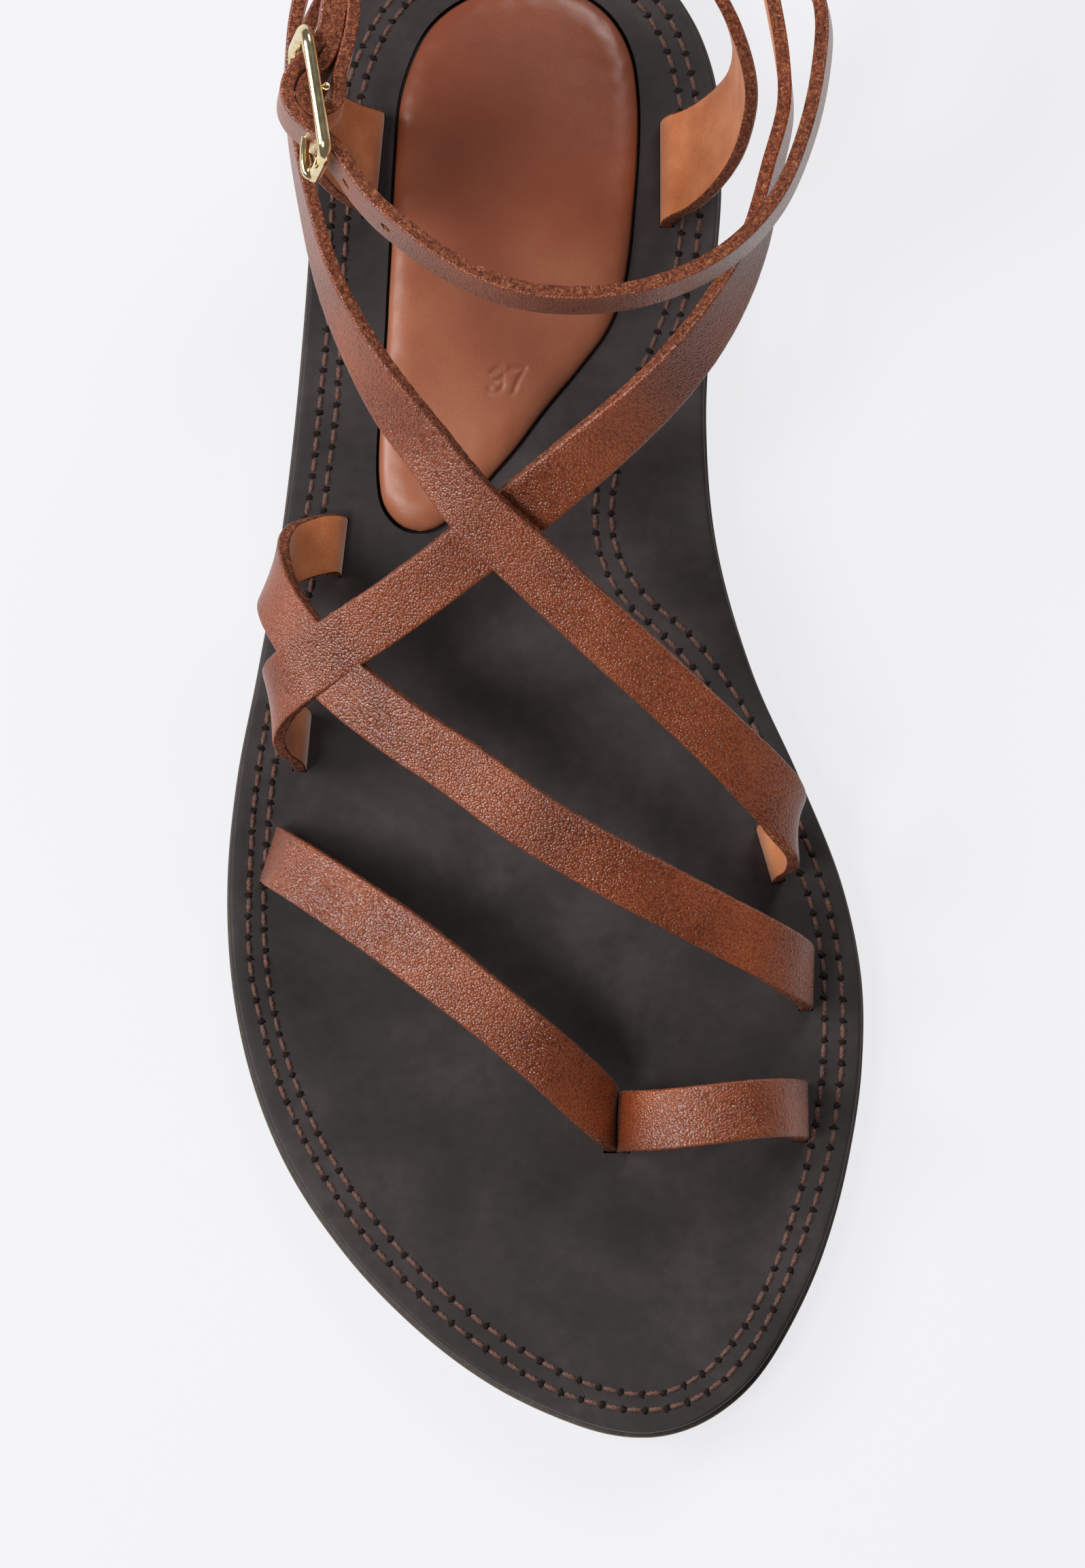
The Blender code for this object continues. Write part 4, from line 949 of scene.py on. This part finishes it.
def leather_strap(name, fine, outward, hides, seed, stands_for=(), tip=0.0):
    """Strap: the section carried along its line, grain face outwards.

    Width and lie waver slowly, and the cut edges are pushed about by random fibres that are
    smoothed along the strap. A tip narrows the end to a rounded tongue.
    """
    section, regions = strap_section()
    middle, count = fine[:, :3], len(fine)
    way = unit(np.gradient(middle, axis=0))
    turn, rise = np.radians(fine[:, 3]), np.radians(fine[:, 4])
    edge = np.column_stack((np.cos(rise) * np.cos(turn), np.cos(rise) * np.sin(turn), np.sin(rise)))
    edge = unit(edge - np.sum(edge * way, axis=1, keepdims=True) * way)
    face = np.cross(way, edge) * outward
    run = distances(middle)
    half = fine[:, 5] * STRAP_WIDTH / 2
    if tip:
        half = half * np.sqrt(np.clip(1 - np.clip(1 - (run[-1] - run) / tip, 0, 0.985) ** 2, 0, 1))
    rng = np.random.default_rng(seed)
    columns = len(section)
    fuzz = rng.normal(0, 1, (count + 2, columns))
    fuzz = (fuzz[:-2] * 0.5 + fuzz[1:-1] + fuzz[2:] * 0.5) / 1.22
    fuzz = fuzz + 0.8 * ripples(run[:, None], section[None, :, 0] * 0.02, seed + 1, 4 * MM, 1.2 * MM)
    waver = WIDTH_WAVER * ripples(run, 0 * run, seed + 2, 60 * MM, 14 * MM)
    sag = LIE_WAVER * ripples(run, 0 * run, seed + 3, 40 * MM, 10 * MM)
    sign = np.sign(section[None, :, 0])
    across = section[None, :, 0] * half[:, None] - sign * section[None, :, 1]
    across = across + np.where(np.abs(section[None, :, 0]) == 1, sign, 0) * (
        waver[:, None] + FUZZ_OUT * fuzz * section[None, :, 3])
    deep = section[None, :, 2] * STRAP_THICKNESS / 2 + sag[:, None]
    deep = deep + FUZZ_DEEP * fuzz * section[None, :, 3]
    points = middle[:, None] + across[..., None] * edge[:, None] + deep[..., None] * face[:, None]
    round_way = np.concatenate(([0], np.cumsum(np.hypot(
        np.diff(section[:, 0] * STRAP_WIDTH / 2), np.diff(section[:, 2] * STRAP_THICKNESS / 2)))))
    uv = np.stack(np.broadcast_arrays(run[:, None], round_way[None]), axis=-1)
    picked = np.broadcast_to(regions[None], (count - 1, columns))
    made = piece(name, points, grid_faces(count, columns), hides, regions=picked.ravel(), uv=uv,
                 stands_for=stands_for, ends=end_faces(count, columns))
    for end in (-1, -2):
        made.data.polygons[len(made.data.polygons) + end].material_index = 1
    return made


def tube(middle, radius, sides, side_way, closed, corner=0.0):
    """Points and faces of a bar swept along a flat line; corner squares its round section."""
    count = len(middle)
    way = unit(np.roll(middle, -1, 0) - np.roll(middle, 1, 0)) if closed else unit(
        np.gradient(middle, axis=0))
    across = np.cross(way, side_way)
    angles = np.arange(sides) / sides * 2 * np.pi
    swell = 1 + corner * np.cos(6 * angles)
    radius = np.broadcast_to(radius, count)[:, None, None] * swell[None, :, None]
    points = middle[:, None] + radius * (
        np.cos(angles)[None, :, None] * across[:, None]
        + np.sin(angles)[None, :, None] * side_way[None, None])
    faces = grid_faces(count, sides)
    first, last = end_faces(count, sides)
    if not closed:
        return points, faces, (first, last)
    joint = np.column_stack((last, np.roll(last, -1), np.roll(first, -1), first))
    return points, np.vstack((faces, joint)), ()


def frame_line(steps):
    """Middle line of the frame's wire: a rectangle with rounded corners."""
    long = (FRAME_LENGTH - FRAME_WIRE) / 2 - FRAME_CORNER
    high = (FRAME_HEIGHT - FRAME_WIRE) / 2 - FRAME_CORNER
    points = []
    for k, (a, b) in enumerate(((1, 1), (-1, 1), (-1, -1), (1, -1))):
        for angle in np.radians(np.linspace(90 * k, 90 * k + 90, steps)):
            points.append(buckle_point(a * long + FRAME_CORNER * np.cos(angle), 0.0,
                                       b * high + FRAME_CORNER * np.sin(angle)))
    return np.array(points)


def resampled(line, count, closed=False):
    """Even steps along a run of points, joined straight."""
    line = np.vstack((line, line[:1])) if closed else line
    marks = distances(line)
    at = np.linspace(0, marks[-1], count, endpoint=not closed)
    return np.column_stack([np.interp(at, marks, line[:, k]) for k in range(3)])


def buckle_ring(gold):
    """Frame: a wire of softly six-sided section carried round a rounded rectangle."""
    line = resampled(frame_line(16), 160, closed=True)
    points, faces, ends = tube(line, 0.98 * FRAME_WIRE / 2, 24, BUCKLE_OUT, True, corner=0.03)
    return piece("buckle_ring", points, faces, [gold], stands_for=("buckle_frame",),
                 ends=ends)


def buckle_bar(gold):
    """Bar the strap folds round: rings of radius r at height u on one axis, its top bored."""
    reach, radius, lip, sides = FRAME_HEIGHT / 2 - 0.5 * MM, BAR_DIAMETER / 2, 0.1 * MM, 24
    height = np.array([-reach, lip - reach, reach - lip, reach, reach, reach - lip, reach - MM])
    share = np.array([0.85, 1.0, 1.0, 0.93, 0.74, 0.62, 0.60])
    angle = np.arange(sides) / sides * 2 * np.pi
    turn = np.cos(angle)[:, None] * BUCKLE_FORWARD + np.sin(angle)[:, None] * BUCKLE_OUT
    points = (buckle_point(BAR_FORWARD, BAR_OUT) + height[:, None, None] * BUCKLE_UP
              + radius * share[:, None, None] * turn[None])
    return piece("buckle_bar", points, grid_faces(7, sides), [gold],
                 ends=end_faces(7, sides))


def prong_line():
    """Middle line of the prong, from its ring over the front of the frame."""
    rest = (FRAME_WIRE + PRONG_DIAMETER) / 2 + GAP + 0.1 * MM
    front = (FRAME_LENGTH - FRAME_WIRE) / 2
    start = (BAR_FORWARD + 0.85 * MM, BAR_OUT + 0.85 * MM)
    flat = [start, (front * 0.45, rest * 0.5), (front * 0.8, rest * 0.93), (front, rest),
            (front + 0.9 * MM, rest * 0.93), (front + 1.6 * MM, rest * 0.75)]
    return np.array([buckle_point(f, o) for f, o in flat])


def buckle_tongue(gold):
    """Prong: a tapered round bar on a curve, with its ring round the buckle's bar."""
    middle = prong_line()
    marks = distances(middle)
    fine = through(marks, middle, np.linspace(0, marks[-1], 60))
    share = np.linspace(0, 1, 60)
    taper = np.clip((share - 0.86) / 0.14, 0, 0.97)
    radius = PRONG_DIAMETER / 2 * np.sqrt(1 - taper ** 2)
    points, faces, ends = tube(fine, radius, 20, BUCKLE_UP, False)
    piece("buckle_tongue", points, faces, [gold], stands_for=("buckle_prong",),
          ends=ends)
    angle = np.linspace(0, 2 * np.pi, 48, endpoint=False)
    ring_radius = BAR_DIAMETER / 2 + GAP + PRONG_RING_WALL / 2
    ring = np.array([buckle_point(BAR_FORWARD + f, BAR_OUT + o)
                     for f, o in zip(ring_radius * np.cos(angle), ring_radius * np.sin(angle))])
    points, faces, ends = tube(ring, PRONG_RING_WALL / 2, 12, BUCKLE_UP, True)
    stretch = (points - BUCKLE_CENTRE) @ BUCKLE_UP
    points = points + (stretch * 2.2)[..., None] * BUCKLE_UP
    piece("tongue_ring", points, faces, [gold], ends=ends)


def punch_body(place):
    """Round body through the strap at a place beside the buckle."""
    middle = level_point(place[0] * MM, place[1] * MM)
    away = np.append(unit(middle[:2] - LEG_MIDDLE), 0.0) * PUNCH_REACH
    line = np.array([middle - away, middle, middle + away])
    points, faces, ends = tube(line, HOLE_DIAMETER / 2, 20, BUCKLE_UP, False)
    return points.reshape(-1, 3), faces.tolist() + [list(e) for e in ends]


def build_straps():
    """All straps; the crossing order is in their tables."""
    hides = [pressed_cowhide(), cut_hide_edge(), split_suede()]
    tail = buckle_rows(TAIL_WEAVE, BUCKLE_TURN - 360)
    medial = leather_strap("medial_strap", strap_line(MEDIAL_STRAP, True, False, tail), -1, hides,
                           11, ("upper",), TIP_LENGTH)
    cut(medial, scratch("holes", [punch_body(p) for p in PUNCHED_HOLES]))
    fold = buckle_rows(bar_fold(), BUCKLE_TURN + 360)
    leather_strap("lateral_strap", strap_line(LATERAL_STRAP, True, False, fold), 1, hides, 23)
    leather_strap("middle_strap", strap_line(MIDDLE_STRAP, True, True), 1, hides, 37)
    leather_strap("heel_strap", strap_line(heel_strap_rows(), True, True), 1, hides, 41)
    leather_strap("toe_band", strap_line(TOE_BAND, True, True), 1, hides, 53, ("toe_strap",))
    leather_strap("toe_loop", strap_line(TOE_LOOP, True, True), 1, hides, 67)


def build_sole():
    """Sole layers, pad and the two rows of stitches."""
    rubber, leather = moulded_rubber(), waxed_sole_leather()
    walking_sole(rubber)
    heel_block(rubber)
    top_sole(leather)
    heel_cushion(nappa_pad_leather())
    thread, shadow = twisted_thread(), needle_hole_shadow()
    for word, loop, seed in (("outer", OUTER_STITCHES, 71), ("inner", INNER_STITCHES, 83)):
        holes = stitch_places(loop)
        threads(word + "_stitches", holes, thread, seed)
        # dark lenses of painted shade stand for the depth of the needle holes
        needle_holes(word + "_needle_holes", holes, shadow, seed + 1)


def build_buckle():
    """Buckle frame, bar and prong."""
    gold = pale_gold_plate()
    buckle_ring(gold)
    buckle_bar(gold)
    buckle_tongue(gold)


def build_studio():
    """Pale paper floor, square softboxes turned to the sandal, weak air light, the camera."""
    floor_mesh = bpy.data.meshes.new("paper_floor")
    corners = [(a * FLOOR_REACH, b * FLOOR_REACH, 0) for a, b in ((-1, -1), (1, -1), (1, 1), (-1, 1))]
    floor_mesh.from_pydata(corners, [], [(0, 1, 2, 3)])
    floor_mesh.materials.append(studio_paper())
    floor = placed("paper_floor", floor_mesh)
    floor.location.z = -FLOOR_DROP
    world = bpy.data.worlds.new("studio_air")
    bpy.context.scene.world = world
    world.use_nodes = True
    air = world.node_tree.nodes["Background"]
    air.inputs["Color"].default_value = linear("#F4F5F8")
    air.inputs["Strength"].default_value = AIR_STRENGTH
    for name, place, size, power in SOFTBOXES:
        light = bpy.data.lights.new(name, "AREA")
        light.shape, light.size, light.energy = "SQUARE", size, power
        z = unit(np.array(place) - SOFTBOX_TARGET)
        x = unit(np.cross([0, 1, 0], z))
        turned = np.eye(4)
        turned[:3] = np.column_stack((x, np.cross(z, x), z, place))
        placed(name, light).matrix_world = Matrix(turned)
    eye = bpy.data.cameras.new("camera")
    eye.lens, eye.sensor_width, eye.clip_start = CAMERA_LENS, SENSOR_WIDTH, NEAREST_SEEN
    camera = placed("camera", eye)
    camera.location = CAMERA_PLACE
    camera.rotation_euler = (CAMERA_TILT, 0.0, 0.0)
    bpy.context.scene.camera = camera
    bpy.context.scene.view_settings.view_transform = "Standard"


build_straps()
build_sole()
build_buckle()
build_studio()
